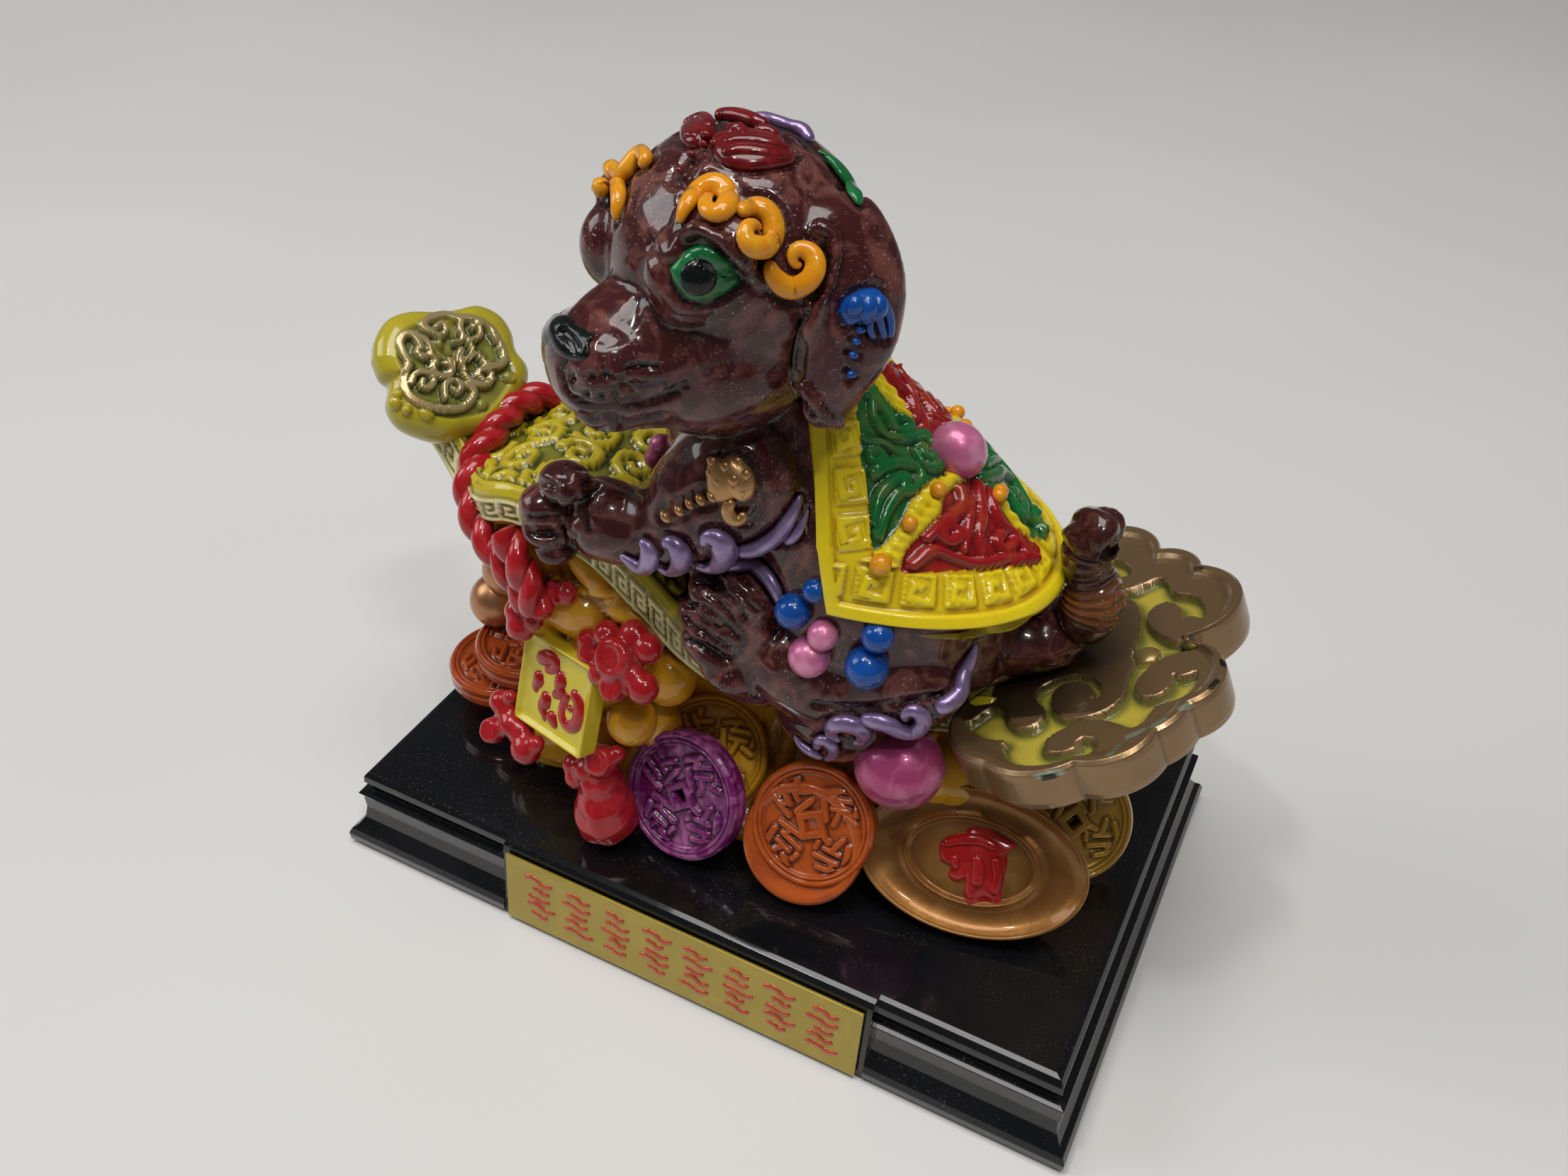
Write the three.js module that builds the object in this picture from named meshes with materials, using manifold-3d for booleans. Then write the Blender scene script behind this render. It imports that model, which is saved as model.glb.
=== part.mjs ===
// A painted resin puppy on a ruyi sceptre and a heap of coins, on a lacquered plinth.
// Millimetres, +Z up, origin at the middle of the plinth's underside, +X along its long front.
import * as THREE from "three";
import { mergeVertices } from "three/addons/utils/BufferGeometryUtils.js";
import Module from "manifold-3d";

const wasm = await Module();
wasm.setup();

// Plinth
const PLINTH_LENGTH = 120;
const PLINTH_DEPTH = 76.3;
const PLINTH_HEIGHT = 15;
const TOP_INSET = 3.9;
const BLOCK_LEFT = -29.6;
const BLOCK_RIGHT = 30.8;
const BLOCK_EDGE_RADIUS = 1.6;
const BLOCK_LEAN = THREE.MathUtils.degToRad(6);
// Label plate
const LABEL_LENGTH = 58.5;
const LABEL_HEIGHT = 13;
const LABEL_THICKNESS = 0.5;
const LABEL_FOOT = 0.7;
const STROKE_HEIGHT = 0.2;
const GLYPH_SIZE = 5.6;
const GLYPH_COUNT = 7;
const STROKE_WIDTH = 0.55;
const STROKE_ROOT = 0.05;
// Clearance between touching pieces
const GAP = 0.3;
// Figurine
const FIGURE_LENGTH = 125;
const FIGURE_TURN = THREE.MathUtils.degToRad(9);
const COIN_RADIUS = 9.4;
const COIN_THICKNESS = 3.4;
const COIN_RIM = 1.3;
const COIN_SINK = 0.7;
const INGOT_HALF_WIDTH = 10.4;
const INGOT_STRETCH = 1.56;
const PLATE_THICKNESS = 6.6;
const PLATE_RIM = 2.7;
const PLATE_SINK = 0.9;
const PLATE_SLOPE = THREE.MathUtils.degToRad(24);
const SCROLL_HEIGHT = 0.8;
const BLANKET_THICKNESS = 1.1;
const BORDER_HEIGHT = 0.6;
const BORDER_WIDTH = 6.4;
const BLANKET_RAKE = 0.357;
const STRAP_HEIGHT = 0.9;
const ROPE_RADIUS = 2.3;

// One share is a 125th of the figurine's length
const SHARE = FIGURE_LENGTH / 125;
// Level of the figurine's underside
const FOOT = PLINTH_HEIGHT + GAP;

const UP = new THREE.Vector3(0, 0, 1);

/** A point of the figurine: shares along, across and above its underside. */
function at(x, y, z) {
  return new THREE.Vector3(x * SHARE, y * SHARE, z * SHARE);
}

/** A unit direction. */
function dir(x, y, z) {
  return new THREE.Vector3(x, y, z).normalize();
}

/** The signed volume of an indexed position list, to see which way its faces turn. */
function signedVolume(positions, index) {
  const a = new THREE.Vector3();
  const b = new THREE.Vector3();
  const c = new THREE.Vector3();
  let volume = 0;
  for (let i = 0; i < index.length; i += 3) {
    a.fromArray(positions, 3 * index[i]);
    b.fromArray(positions, 3 * index[i + 1]);
    c.fromArray(positions, 3 * index[i + 2]);
    volume += a.dot(b.cross(c)) / 6;
  }
  return volume;
}

/** A closed geometry as a solid: corners merged, empty triangles dropped, faces turned out. */
function solid(geometry) {
  const bare = geometry.clone();
  bare.deleteAttribute("normal");
  bare.deleteAttribute("uv");
  const merged = mergeVertices(bare, 1e-4);
  const positions = merged.attributes.position.array;
  const kept = [];
  const all = merged.index.array;
  for (let i = 0; i < all.length; i += 3) {
    const [a, b, c] = [all[i], all[i + 1], all[i + 2]];
    if (a !== b && b !== c && c !== a) kept.push(a, b, c);
  }
  if (signedVolume(positions, kept) < 0) kept.reverse();
  const mesh = new wasm.Mesh({
    numProp: 3,
    vertProperties: new Float32Array(positions),
    triVerts: new Uint32Array(kept),
  });
  return new wasm.Manifold(mesh);
}

/** Several solids as one. */
function join(solids) {
  return solids.reduce((whole, piece) => whole.add(piece));
}

/** A solid's surface as a three.js geometry with flat faces. */
function surface(manifold) {
  const mesh = manifold.getMesh();
  const geometry = new THREE.BufferGeometry();
  geometry.setAttribute("position", new THREE.BufferAttribute(mesh.vertProperties, 3));
  geometry.setIndex(new THREE.BufferAttribute(mesh.triVerts, 1));
  geometry.computeVertexNormals();
  return geometry;
}

/** A closed skin over rings of equal count, with a flat cap at each end. */
function skin(rings) {
  const count = rings[0].length;
  const points = rings.flat();
  const first = points.length;
  for (const ring of [rings[0], rings.at(-1)]) {
    const middle = new THREE.Vector3();
    ring.forEach((point) => middle.add(point));
    points.push(middle.divideScalar(count));
  }
  const index = [];
  for (let i = 0; i < count; i++) {
    const next = (i + 1) % count;
    for (let r = 0; r < rings.length - 1; r++) {
      const [a, b] = [r * count + i, r * count + next];
      index.push(a, b, b + count, a, b + count, a + count);
    }
    const last = (rings.length - 1) * count;
    index.push(first, next, i, first + 1, last + i, last + next);
  }
  const geometry = new THREE.BufferGeometry();
  geometry.setAttribute("position", new THREE.Float32BufferAttribute(points.flatMap((p) => p.toArray()), 3));
  geometry.setIndex(index);
  return solid(geometry);
}

/** An oval ring round a centre, with half sizes a and b along two directions. */
function oval(centre, across, over, a, b, count) {
  return Array.from({ length: count }, (_, i) => {
    const angle = (2 * Math.PI * i) / count;
    return centre.clone().addScaledVector(across, a * Math.cos(angle)).addScaledVector(over, b * Math.sin(angle));
  });
}

/** A limb through stations [x, y, z, half width, half height], with rounded ends. */
function limb(stations, count = 8, reference = UP) {
  const centres = stations.map(([x, y, z]) => at(x, y, z));
  const rings = [];
  const last = stations.length - 1;
  stations.forEach(([, , , a, b], i) => {
    const along = centres[Math.min(i + 1, last)].clone().sub(centres[Math.max(i - 1, 0)]).normalize();
    const across = along.clone().cross(reference).normalize();
    const over = across.clone().cross(along);
    const ring = (share, shift) => {
      const centre = centres[i].clone().addScaledVector(along, shift * SHARE);
      return oval(centre, across, over, a * share * SHARE, b * share * SHARE, count);
    };
    const cap = Math.min(a, b);
    if (i === 0) rings.push(ring(0.6, -0.75 * cap));
    rings.push(ring(1, 0));
    if (i === last) rings.push(ring(0.6, 0.75 * cap));
  });
  return skin(rings);
}

/** A ball or egg with three half sizes, turned so that its first axis points along a direction. */
function egg(centre, a, b, c, detail = 1, along = new THREE.Vector3(1, 0, 0), reference = UP) {
  const geometry = detail < 2 ? new THREE.OctahedronGeometry(1, detail + 1) : new THREE.IcosahedronGeometry(1, detail);
  const side = reference.clone().cross(along).normalize();
  const over = along.clone().cross(side).normalize();
  const turn = new THREE.Matrix4().makeBasis(along, side, over);
  turn.scale(new THREE.Vector3(a, b, c).multiplyScalar(SHARE));
  turn.setPosition(centre);
  return solid(geometry.applyMatrix4(turn));
}

/** A round ball. */
function ball(x, y, z, radius, detail = 1) {
  return egg(at(x, y, z), radius, radius, radius, detail);
}

/** A matrix that sets a shape's own X, Y and Z at a place, with Z along the normal. */
function frameOf(centre, normal, along) {
  const side = normal.clone().cross(along).normalize();
  const first = side.clone().cross(normal).normalize();
  return new THREE.Matrix4().makeBasis(first, side, normal).setPosition(centre);
}

/** A turned solid from its profile [radius, height], in shares, placed by a matrix. */
function turned(profile, matrix, count = 20) {
  const points = profile.map(([r, h]) => new THREE.Vector2(r * SHARE, h * SHARE));
  const geometry = new THREE.LatheGeometry(points, count);
  geometry.rotateX(Math.PI / 2);
  return solid(geometry.applyMatrix4(matrix));
}

/** A flat shape of corner points [x, y] in shares, raised by a thickness, placed by a matrix. */
function slab(corners, thickness, matrix, base = 0) {
  const shape = new THREE.Shape(corners.map(([x, y]) => new THREE.Vector2(x * SHARE, y * SHARE)));
  const geometry = new THREE.ExtrudeGeometry(shape, { depth: thickness * SHARE, bevelEnabled: false });
  geometry.translate(0, 0, base * SHARE);
  return solid(geometry.applyMatrix4(matrix));
}

/** The outer corners of a cloud of round lobes [x, y, radius] that share an inner point. */
function cloudOutline(lobes, growth, count) {
  return Array.from({ length: count }, (_, i) => {
    const angle = (2 * Math.PI * i) / count;
    const [ux, uy] = [Math.cos(angle), Math.sin(angle)];
    let reach = 1;
    for (const [x, y, radius] of lobes) {
      const along = x * ux + y * uy;
      const aside = x * uy - y * ux;
      const room = (radius + growth) ** 2 - aside ** 2;
      if (room > 0) reach = Math.max(reach, along + Math.sqrt(room));
    }
    return [reach * ux, reach * uy];
  });
}

/** A curl's flat outline: a spiral band that narrows towards its inner end. */
function curlOutline(cx, cy, radius, start, turns, width, steps = 9) {
  const outer = [];
  const inner = [];
  for (let i = 0; i <= steps; i++) {
    const share = i / steps;
    const angle = start + turns * 2 * Math.PI * share;
    const r = radius * (1 - 0.64 * share);
    const half = (width / 2) * (1 - 0.3 * share);
    outer.push([cx + (r + half) * Math.cos(angle), cy + (r + half) * Math.sin(angle)]);
    inner.push([cx + (r - half) * Math.cos(angle), cy + (r - half) * Math.sin(angle)]);
  }
  return outer.concat(inner.reverse());
}

// Plinth

/** The moulded edge as [inset from the outermost line, height], from the underside up. */
function mouldingProfile() {
  const top = PLINTH_HEIGHT;
  return [
    [0.9, 0],
    [0.1, 0.9],
    [0, 2.2],
    [0.5, 3.2],
    [1.4, 3.9],
    [2.2, 5.2],
    [2.6, 7.4],
    [2.5, top - 5.2],
    [2.0, top - 4.3],
    [3.5, top - 4],
    [3.4, top - 3],
    [TOP_INSET - 1, top - 2.2],
    [TOP_INSET - 0.9, top - 1],
    [TOP_INSET - 0.3, top - 0.2],
    [TOP_INSET + 0.5, top],
  ];
}

function plinthSolid() {
  const rings = mouldingProfile().map(([inset, z]) => {
    const [x, y] = [PLINTH_LENGTH / 2 - inset, PLINTH_DEPTH / 2 - inset];
    return [[x, y], [-x, y], [-x, -y], [x, -y]].map(([u, v]) => new THREE.Vector3(u, v, z));
  });
  return skin(rings).subtract(clearanceSolid()).add(blockSolid());
}

/** The Y of the leaning front face at a height. */
function blockFace(z) {
  return -PLINTH_DEPTH / 2 + 0.4 + z * Math.tan(BLOCK_LEAN);
}

/** A side outline of [y, z] corners drawn out along the raised block's length. */
function alongBlock(outline) {
  const shape = new THREE.Shape(outline.map(([y, z]) => new THREE.Vector2(y, z)));
  const geometry = new THREE.ExtrudeGeometry(shape, { depth: BLOCK_RIGHT - BLOCK_LEFT, bevelEnabled: false });
  const turn = new THREE.Matrix4().makeBasis(new THREE.Vector3(0, 1, 0), UP, new THREE.Vector3(1, 0, 0));
  turn.setPosition(BLOCK_LEFT, 0, 0);
  return solid(geometry.applyMatrix4(turn));
}

/** What lies in front of the block's face, where the moulded edge is cut away. */
function clearanceSolid() {
  const [low, high] = [-1, PLINTH_HEIGHT + 1];
  return alongBlock([[-PLINTH_DEPTH, low], [blockFace(low), low], [blockFace(high), high], [-PLINTH_DEPTH, high]]);
}

/** The raised block that carries the label, with a rounded top edge. */
function blockSolid() {
  const top = PLINTH_HEIGHT;
  const back = -PLINTH_DEPTH / 2 + 3 * TOP_INSET;
  const round = BLOCK_EDGE_RADIUS;
  const outline = [[back, 0], [blockFace(0), 0]];
  for (let step = 0; step <= 3; step++) {
    const angle = (step / 3) * (Math.PI / 2);
    const z = top - round * (1 - Math.sin(angle));
    outline.push([blockFace(top - round) + round * (1 - Math.cos(angle)), z]);
  }
  outline.push([back, top]);
  return alongBlock(outline);
}

// Label plate

/** A small raised stroke on the label, from its middle, length and angle. */
function stroke(x, y, length, angle) {
  const geometry = new THREE.BoxGeometry(length, STROKE_WIDTH, STROKE_HEIGHT + STROKE_ROOT);
  geometry.rotateZ(angle);
  geometry.translate(x, y, LABEL_THICKNESS + (STROKE_HEIGHT - STROKE_ROOT) / 2);
  return solid(geometry);
}

/** The thin plate with a row of raised strokes that spell nothing, in its own flat frame. */
function labelSolid() {
  const plate = new THREE.BoxGeometry(LABEL_LENGTH, LABEL_HEIGHT, LABEL_THICKNESS);
  plate.translate(0, 0, LABEL_THICKNESS / 2);
  const pieces = [solid(plate)];
  const pitch = (LABEL_LENGTH - GLYPH_SIZE * 1.5) / GLYPH_COUNT;
  for (let g = 0; g < GLYPH_COUNT; g++) {
    const x = (g - (GLYPH_COUNT - 1) / 2) * pitch;
    pieces.push(stroke(x, GLYPH_SIZE * 0.3, GLYPH_SIZE * (0.6 + 0.2 * (g % 3)), 0.14 * ((g % 3) - 1)));
    pieces.push(stroke(x, -GLYPH_SIZE * 0.22, GLYPH_SIZE * 0.5, 0.9 + 0.4 * (g % 2)));
  }
  return join(pieces);
}

// Heap of amber lumps under the sceptre

function heapSolid() {
  const levels = [
    [0, 51, 25, -3],
    [4, 51, 25, -3],
    [12, 49, 21, -3],
    [20, 43, 17, -3],
    [29, 27, 13, -2],
  ];
  const rings = levels.map(([z, a, b, x]) => oval(at(x, 0, z), dir(1, 0, 0), dir(0, 1, 0), a * SHARE, b * SHARE, 14));
  return skin(rings);
}

function amberLumps() {
  return [
    ball(-16.5, -21, 22, 3.8, 0),
    egg(at(-14, -17.5, 31), 6.5, 5, 5.5, 0, dir(1, 0, 0.5)),
    egg(at(-24, -14, 37), 7.5, 5.4, 5.4, 0, dir(1, 0, 0.8)),
    egg(at(-10, -18, 25), 6, 4.5, 5, 0),
    egg(at(-22, -17, 26), 6, 5, 6, 0),
    egg(at(-31, -9, 31), 7, 7, 9, 0),
  ];
}

// Coins

/** A coin with a raised rim and a square eye; its face looks along the normal. */
function coin(centre, normal, radius = COIN_RADIUS, marked = true) {
  const matrix = frameOf(centre, normal, UP);
  const half = COIN_THICKNESS / 2;
  const floor = half - COIN_SINK;
  const profile = [
    [0, -half],
    [radius, -half],
    [radius, half],
    [radius - COIN_RIM, half],
    [radius - COIN_RIM, floor],
    [0, floor],
  ];
  const body = turned(profile, matrix, marked ? 15 : 12);
  if (!marked) return body;
  const eye = radius * 0.2;
  const square = (s) => [[-s, -s], [s, -s], [s, s], [-s, s]];
  const frame = slab(square(eye + 0.9), COIN_SINK, matrix, floor - 0.1);
  const hole = slab(square(eye), 2, matrix, half - 1.6);
  const marks = [0, 1, 2, 3].map((quarter) => {
    const angle = (quarter * Math.PI) / 2;
    const [x, y] = [Math.cos(angle), Math.sin(angle)].map((share) => share * radius * 0.58);
    const w = radius * 0.16;
    return slab([[x - w, y - w], [x + w, y - w * 0.6], [x + w * 0.4, y + w]], COIN_SINK, matrix, floor - 0.1);
  });
  return join([body, frame, ...marks]).subtract(hole);
}

/** A coin on the far side: a plain disc. */
function disc(centre, normal, radius) {
  const half = COIN_THICKNESS / 2;
  return turned([[0, -half], [radius, -half], [radius, half], [0, half]], frameOf(centre, normal, UP), 12);
}

function coins() {
  return [
    coin(at(-10.6, -22.2, 9.2), dir(-0.05, -0.93, 0.36)),
    coin(at(9.2, -21.6, 9.9), dir(0.05, -0.84, 0.54), COIN_RADIUS + 0.4),
    disc(at(10, -18.6, 7.8), dir(0.05, -0.9, 0.44), COIN_RADIUS),
    coin(at(-4.2, -18.6, 21.6), dir(0.05, -0.5, 0.87), 8.2, false),
    coin(at(-48.5, -9.5, 8.9), dir(-0.72, -0.62, 0.3), 9, false),
    disc(at(-44, -11.5, 15.5), dir(-0.5, -0.45, 0.74), 8),
    coin(at(47, -8.5, 9), dir(0.55, -0.72, 0.42), 9, false),
    disc(at(12, 21.6, 9.9), dir(0.05, 0.84, 0.54), COIN_RADIUS),
    disc(at(-12, 22.2, 9.4), dir(-0.05, 0.9, 0.42), COIN_RADIUS),
    disc(at(-46, 10, 8.9), dir(-0.72, 0.62, 0.3), 9),
  ];
}

// Boat ingots

/** An oval ingot dish whose open face looks along the normal. */
function ingot(centre, normal) {
  const matrix = frameOf(centre, normal, UP);
  matrix.scale(new THREE.Vector3(1, INGOT_STRETCH, 1));
  const rim = INGOT_HALF_WIDTH;
  const profile = [
    [0, -5.5],
    [rim * 0.6, -4.6],
    [rim, 0],
    [rim * 0.94, 0.7],
    [rim * 0.62, -0.2],
    [0, 0.5],
  ];
  const relief = [[-2, -4], [3.6, -1], [5, 0.5], [3.4, 3.8], [-3, 3], [-4.4, 0.5]];
  return turned(profile, matrix, 18).add(slab(relief, 1.5, frameOf(centre, normal, UP)));
}

function ingots() {
  return [
    ingot(at(32.6, -20, 9.4), dir(0.02, -0.8, 0.6)),
    turned([[0, -5], [10, 0], [0, 0.5]], frameOf(at(32.6, 19, 9.4), dir(0.02, 0.8, 0.6), UP), 10),
  ];
}

// Sceptre

/** The sceptre's shaft: stations [x, y, z, half width, half thickness] from neck to tail. */
function shaftSolid() {
  const stations = [
    [-50, 0, 51, 4.2, 3],
    [-45.2, 0, 46.6, 5.5, 3],
    [-41.5, -1, 47.5, 12.4, 3],
    [-35.5, -1, 48.6, 14.6, 3],
    [-29, -1, 45.6, 15.8, 3],
    [-11, -1, 31, 15.5, 3],
    [-3, -1, 25.6, 14.5, 3],
    [8, 0, 22.5, 12, 3.4],
    [20, 0, 23, 11, 3.4],
    [32, 0, 27, 13, 3.2],
  ];
  const rings = stations.map(([x, y, z, a, b], i) => {
    const before = stations[Math.max(i - 1, 0)];
    const after = stations[Math.min(i + 1, stations.length - 1)];
    const along = dir(after[0] - before[0], 0, after[2] - before[2]);
    const over = dir(-along.z, 0, along.x);
    const across = dir(0, 1, 0);
    const corners = [[-1, -0.7], [-1, 0.7], [-0.9, 1], [0.9, 1], [1, 0.7], [1, -0.7], [0.9, -1], [-0.9, -1]];
    return corners.map(([c, o]) =>
      at(x, y, z).addScaledVector(across, c * a * SHARE).addScaledVector(over, o * b * SHARE));
  });
  return skin(rings);
}

/** The sceptre's head: a thick cushion with four round lobes and curls on its face. */
function headPlate() {
  const matrix = frameOf(at(-52.6, -0.6, 57.2), dir(0.62, -0.28, 0.73), dir(-0.2, 1, 0.3));
  const lobes = [[-4.6, 2.6, 6], [4.8, 2.4, 6], [3, -4.8, 6], [-4, -4.4, 5.6]];
  const levels = [[-3.6, -2.6], [-2, 0], [1.4, 0], [2.8, -1.9]];
  const rings = levels.map(([z, growth]) => cloudOutline(lobes, growth, 20).map(([x, y]) =>
    at(x, y, z).applyMatrix4(matrix)));
  const curls = [[-3.6, -3, 0.5, 1], [3.4, -3.4, 2.2, 1], [-3.4, 3, -0.6, -1], [3.8, 2.8, -2.4, -1]];
  const raised = curls.map(([x, y, start, way]) =>
    slab(curlOutline(x, y, 2.7, start, 0.8 * way, 1.3, 4), SCROLL_HEIGHT + 0.2, matrix, 2.6));
  return join([skin(rings), ...raised]);
}

/** The tail plate: a cloud outline of round lobes, a sunk field, and raised curls. */
function tailPlate() {
  const along = dir(Math.cos(PLATE_SLOPE), 0, Math.sin(PLATE_SLOPE));
  const normal = dir(-Math.sin(PLATE_SLOPE), 0, Math.cos(PLATE_SLOPE));
  const matrix = frameOf(at(43.1, 0, 35.35), normal, along);
  const lobes = [
    [-5.5, -14.6, 9.7],
    [2, -15, 8],
    [6, -11, 7.4],
    [10.5, -6.5, 6.8],
    [9.8, 9.6, 8.5],
    [6.2, 17.2, 6],
    [-2.8, 22.8, 8.6],
    [-8, 16, 7],
    [-1, 0, 13],
  ];
  const body = slab(cloudOutline(lobes, 0, 38), PLATE_THICKNESS, matrix, -PLATE_THICKNESS);
  const field = slab(cloudOutline(lobes, -PLATE_RIM, 24), PLATE_SINK + 1, matrix, -PLATE_SINK);
  const curls = [
    [-1, -17.6, 3.9, 3.4, 0.95],
    [-2.2, -8, 4.4, 5.2, 0.95],
    [8.6, -6, 3.6, 4.2, 0.9],
    [9, 7.4, 3.9, 2, -0.9],
    [-1, 19.6, 4.2, 2.8, -0.95],
    [-2.2, 9.4, 4.4, 1.2, -0.95],
  ].map(([x, y, radius, start, turns]) =>
    slab(curlOutline(x, y, radius, start, turns, 2.2, 5), PLATE_SINK + 0.4, matrix, -PLATE_SINK - 0.4));
  const stud = ball(48.8, 0, 36.8, 1.7, 0);
  return join([body.subtract(field), ...curls, stud]);
}

// Rope, knots, tassel and plaque

/** A two-strand rope along points: a lobed section that turns as it goes. */
function rope(points, turns) {
  const curve = new THREE.CatmullRomCurve3(points.map(([x, y, z]) => at(x, y, z)));
  const steps = Math.round(curve.getLength() / (4 * SHARE));
  const frames = curve.computeFrenetFrames(steps, false);
  const rings = [];
  for (let i = 0; i <= steps; i++) {
    const centre = curve.getPointAt(i / steps);
    const twist = 2 * Math.PI * turns * (i / steps);
    rings.push(Array.from({ length: 6 }, (_, k) => {
      const angle = (2 * Math.PI * k) / 6;
      const r = ROPE_RADIUS * SHARE * (1 + 0.16 * Math.cos(2 * (angle - twist)));
      return centre.clone()
        .addScaledVector(frames.normals[i], r * Math.cos(angle))
        .addScaledVector(frames.binormals[i], r * Math.sin(angle));
    }));
  }
  return skin(rings);
}

/** A bow of three round petals, a cushion that faces along a normal. */
function knot(x, y, z, normal, size) {
  const matrix = frameOf(at(x, y, z), normal, UP);
  const petals = [0, 1, 2].map((i) => {
    const angle = (2 * Math.PI * i) / 3 + 0.5;
    return [size * 0.55 * Math.cos(angle), size * 0.55 * Math.sin(angle), size * 0.55];
  });
  const levels = [[-0.4, -0.14], [0.1, 0], [0.45, -0.24]];
  return skin(levels.map(([height, growth]) =>
    cloudOutline(petals, growth * size, 9).map(([u, v]) => at(u, v, height * size).applyMatrix4(matrix))));
}

function ropeSet() {
  const neckLoop = [
    [-39, 8, 50],
    [-39.4, 3.5, 54.2],
    [-41, -1, 54.6],
    [-43, -5.5, 52.6],
    [-44, -10, 48.8],
    [-42.8, -14, 44.6],
    [-39, -17, 40.6],
    [-34.6, -18.8, 37.4],
    [-31.4, -19.8, 35.4],
  ];
  const secondStrand = [
    [-36.8, -16.6, 47],
    [-33.6, -18.8, 43],
    [-31.5, -20, 39],
    [-30.4, -20.6, 36.6],
  ];
  const front = dir(-0.4, -0.85, 0.3);
  return join([
    rope(neckLoop, 5),
    rope(secondStrand, 2),
    knot(-29.6, -21, 35.6, front, 4.2),
    knot(-19.2, -22.4, 31.6, front, 5.4),
    knot(-36, -21.5, 17.6, front, 5),
    knot(-22.2, -24.4, 14.4, front, 4.4),
    turned([[0, -5], [3.6, -4.2], [4.5, -1], [2, 3.6], [2.8, 5.6], [0, 7.8]],
      frameOf(at(-21.6, -24.2, 5), dir(-0.1, 0.18, 1), dir(1, 0, 0)), 7),
  ]);
}

function plaque() {
  const centre = at(-28, -21.6, 24.6);
  const normal = dir(-0.44, -0.87, 0.2);
  const matrix = frameOf(centre, normal, dir(0.89, -0.46, 0));
  const half = 6.9;
  const square = (s) => [[-s, -s], [s, -s], [s, s], [-s, s]];
  const body = slab(square(half), 3.6, matrix, -2.6).subtract(slab(square(half - 1.1), 2, matrix, 0.4));
  const strokes = [[-2.4, 2, 4, 1.3, 0.5], [2.4, 1.6, 1.2, 4, 0.2], [-2.2, -2, 1.3, 4.4, -0.2], [2.2, -2.8, 3.8, 1.3, 0.3]];
  const marks = strokes.map(([x, y, w, h, lean]) => slab(
    [[x - w / 2, y - h / 2 - lean], [x + w / 2, y - h / 2], [x + w / 2, y + h / 2 + lean], [x - w / 2, y + h / 2]],
    0.9, matrix, 0.2));
  return join([body, ...marks]);
}

// Puppy

/** The torso's levels [z, middle x, half length, half width]. */
const TORSO = [
  [22, 12, 13, 14.5],
  [33, 13, 19.6, 20.2],
  [47, 12.6, 20.2, 20.2],
  [56, 7.8, 17.6, 17.4],
  [65, 0.9, 12.1, 14],
  [73, -3.6, 9, 11.4],
  [80, -5.5, 8.5, 9.6],
];

/** The torso grown outward by an amount, as a skin over its levels. */
function torso(growth, count) {
  const rings = TORSO.map(([z, x, a, b]) =>
    oval(at(x, 0, z), dir(1, 0, 0), dir(0, 1, 0), (a + growth) * SHARE, (b + growth) * SHARE, count));
  return skin(rings);
}

/** A point on the torso at an angle from straight back and a height, grown outward. */
function onTorso(angle, z, growth) {
  const upper = Math.max(1, TORSO.findIndex(([level]) => level >= z));
  const [low, high] = [TORSO[upper - 1], TORSO[upper]];
  const share = (z - low[0]) / (high[0] - low[0]);
  const [, x, a, b] = low.map((value, i) => value + share * (high[i] - value));
  return at(x + (a + growth) * Math.cos(angle), (b + growth) * Math.sin(angle), z);
}

/** The part of a skin that lies in an upright outline of [x, z] corners. */
function within(body, corners) {
  const shape = new THREE.Shape(corners.map(([x, z]) => new THREE.Vector2(x * SHARE, z * SHARE)));
  const geometry = new THREE.ExtrudeGeometry(shape, { depth: 60 * SHARE, bevelEnabled: false });
  geometry.rotateX(Math.PI / 2);
  geometry.translate(0, 30 * SHARE, 0);
  return body.intersect(solid(geometry));
}

/** A strap on the torso from one [angle, z] to another. */
function strap(from, to, width) {
  const steps = 2;
  const rings = [];
  for (let i = 0; i <= steps; i++) {
    const share = i / steps;
    const angle = from[0] + share * (to[0] - from[0]);
    const z = from[1] + share * (to[1] - from[1]);
    const low = onTorso(angle, z, 0.2);
    const high = onTorso(angle, z, BLANKET_THICKNESS + STRAP_HEIGHT);
    const out = high.clone().sub(low).normalize();
    const next = onTorso(angle + 0.02 * (to[0] - from[0]), z + 0.02 * (to[1] - from[1]), 0.2);
    const side = next.sub(low).cross(out).normalize().multiplyScalar((width / 2) * SHARE);
    rings.push([
      low.clone().add(side),
      high.clone().add(side),
      high.clone().sub(side),
      low.clone().sub(side),
    ]);
  }
  return skin(rings);
}

/** The cloth over the back: a border along its front and low edges, and straps from a bead on the spine. */
function blanket() {
  const [low, high, wide] = [45.6, 90, 60];
  const front = (z) => 12.2 - (z - low) * BLANKET_RAKE;
  const inner = [front(low + BORDER_WIDTH) + BORDER_WIDTH * 0.8, low + BORDER_WIDTH];
  const sheet = within(torso(BLANKET_THICKNESS, 14), [[front(low), low], [wide, low], [wide, high], [front(high), high]]);
  const border = within(torso(BLANKET_THICKNESS + BORDER_HEIGHT, 14), [
    [front(low), low],
    [wide, low],
    [wide, inner[1]],
    inner,
    [front(high) + BORDER_WIDTH * 0.8, high],
    [front(high), high],
  ]);
  const straps = [strap([0, 58], [0, 50], 2.8), strap([0, 64], [0, 73], 2.8)];
  for (const side of [-1, 1]) {
    straps.push(strap([side * 0.1, 61.5], [side * 1.2, 53.5], 2.8));
  }
  return join([sheet, border, ...straps, egg(at(20.6, -0.6, 61.4), 4.2, 4.2, 4.8, 0)]);
}

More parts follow.
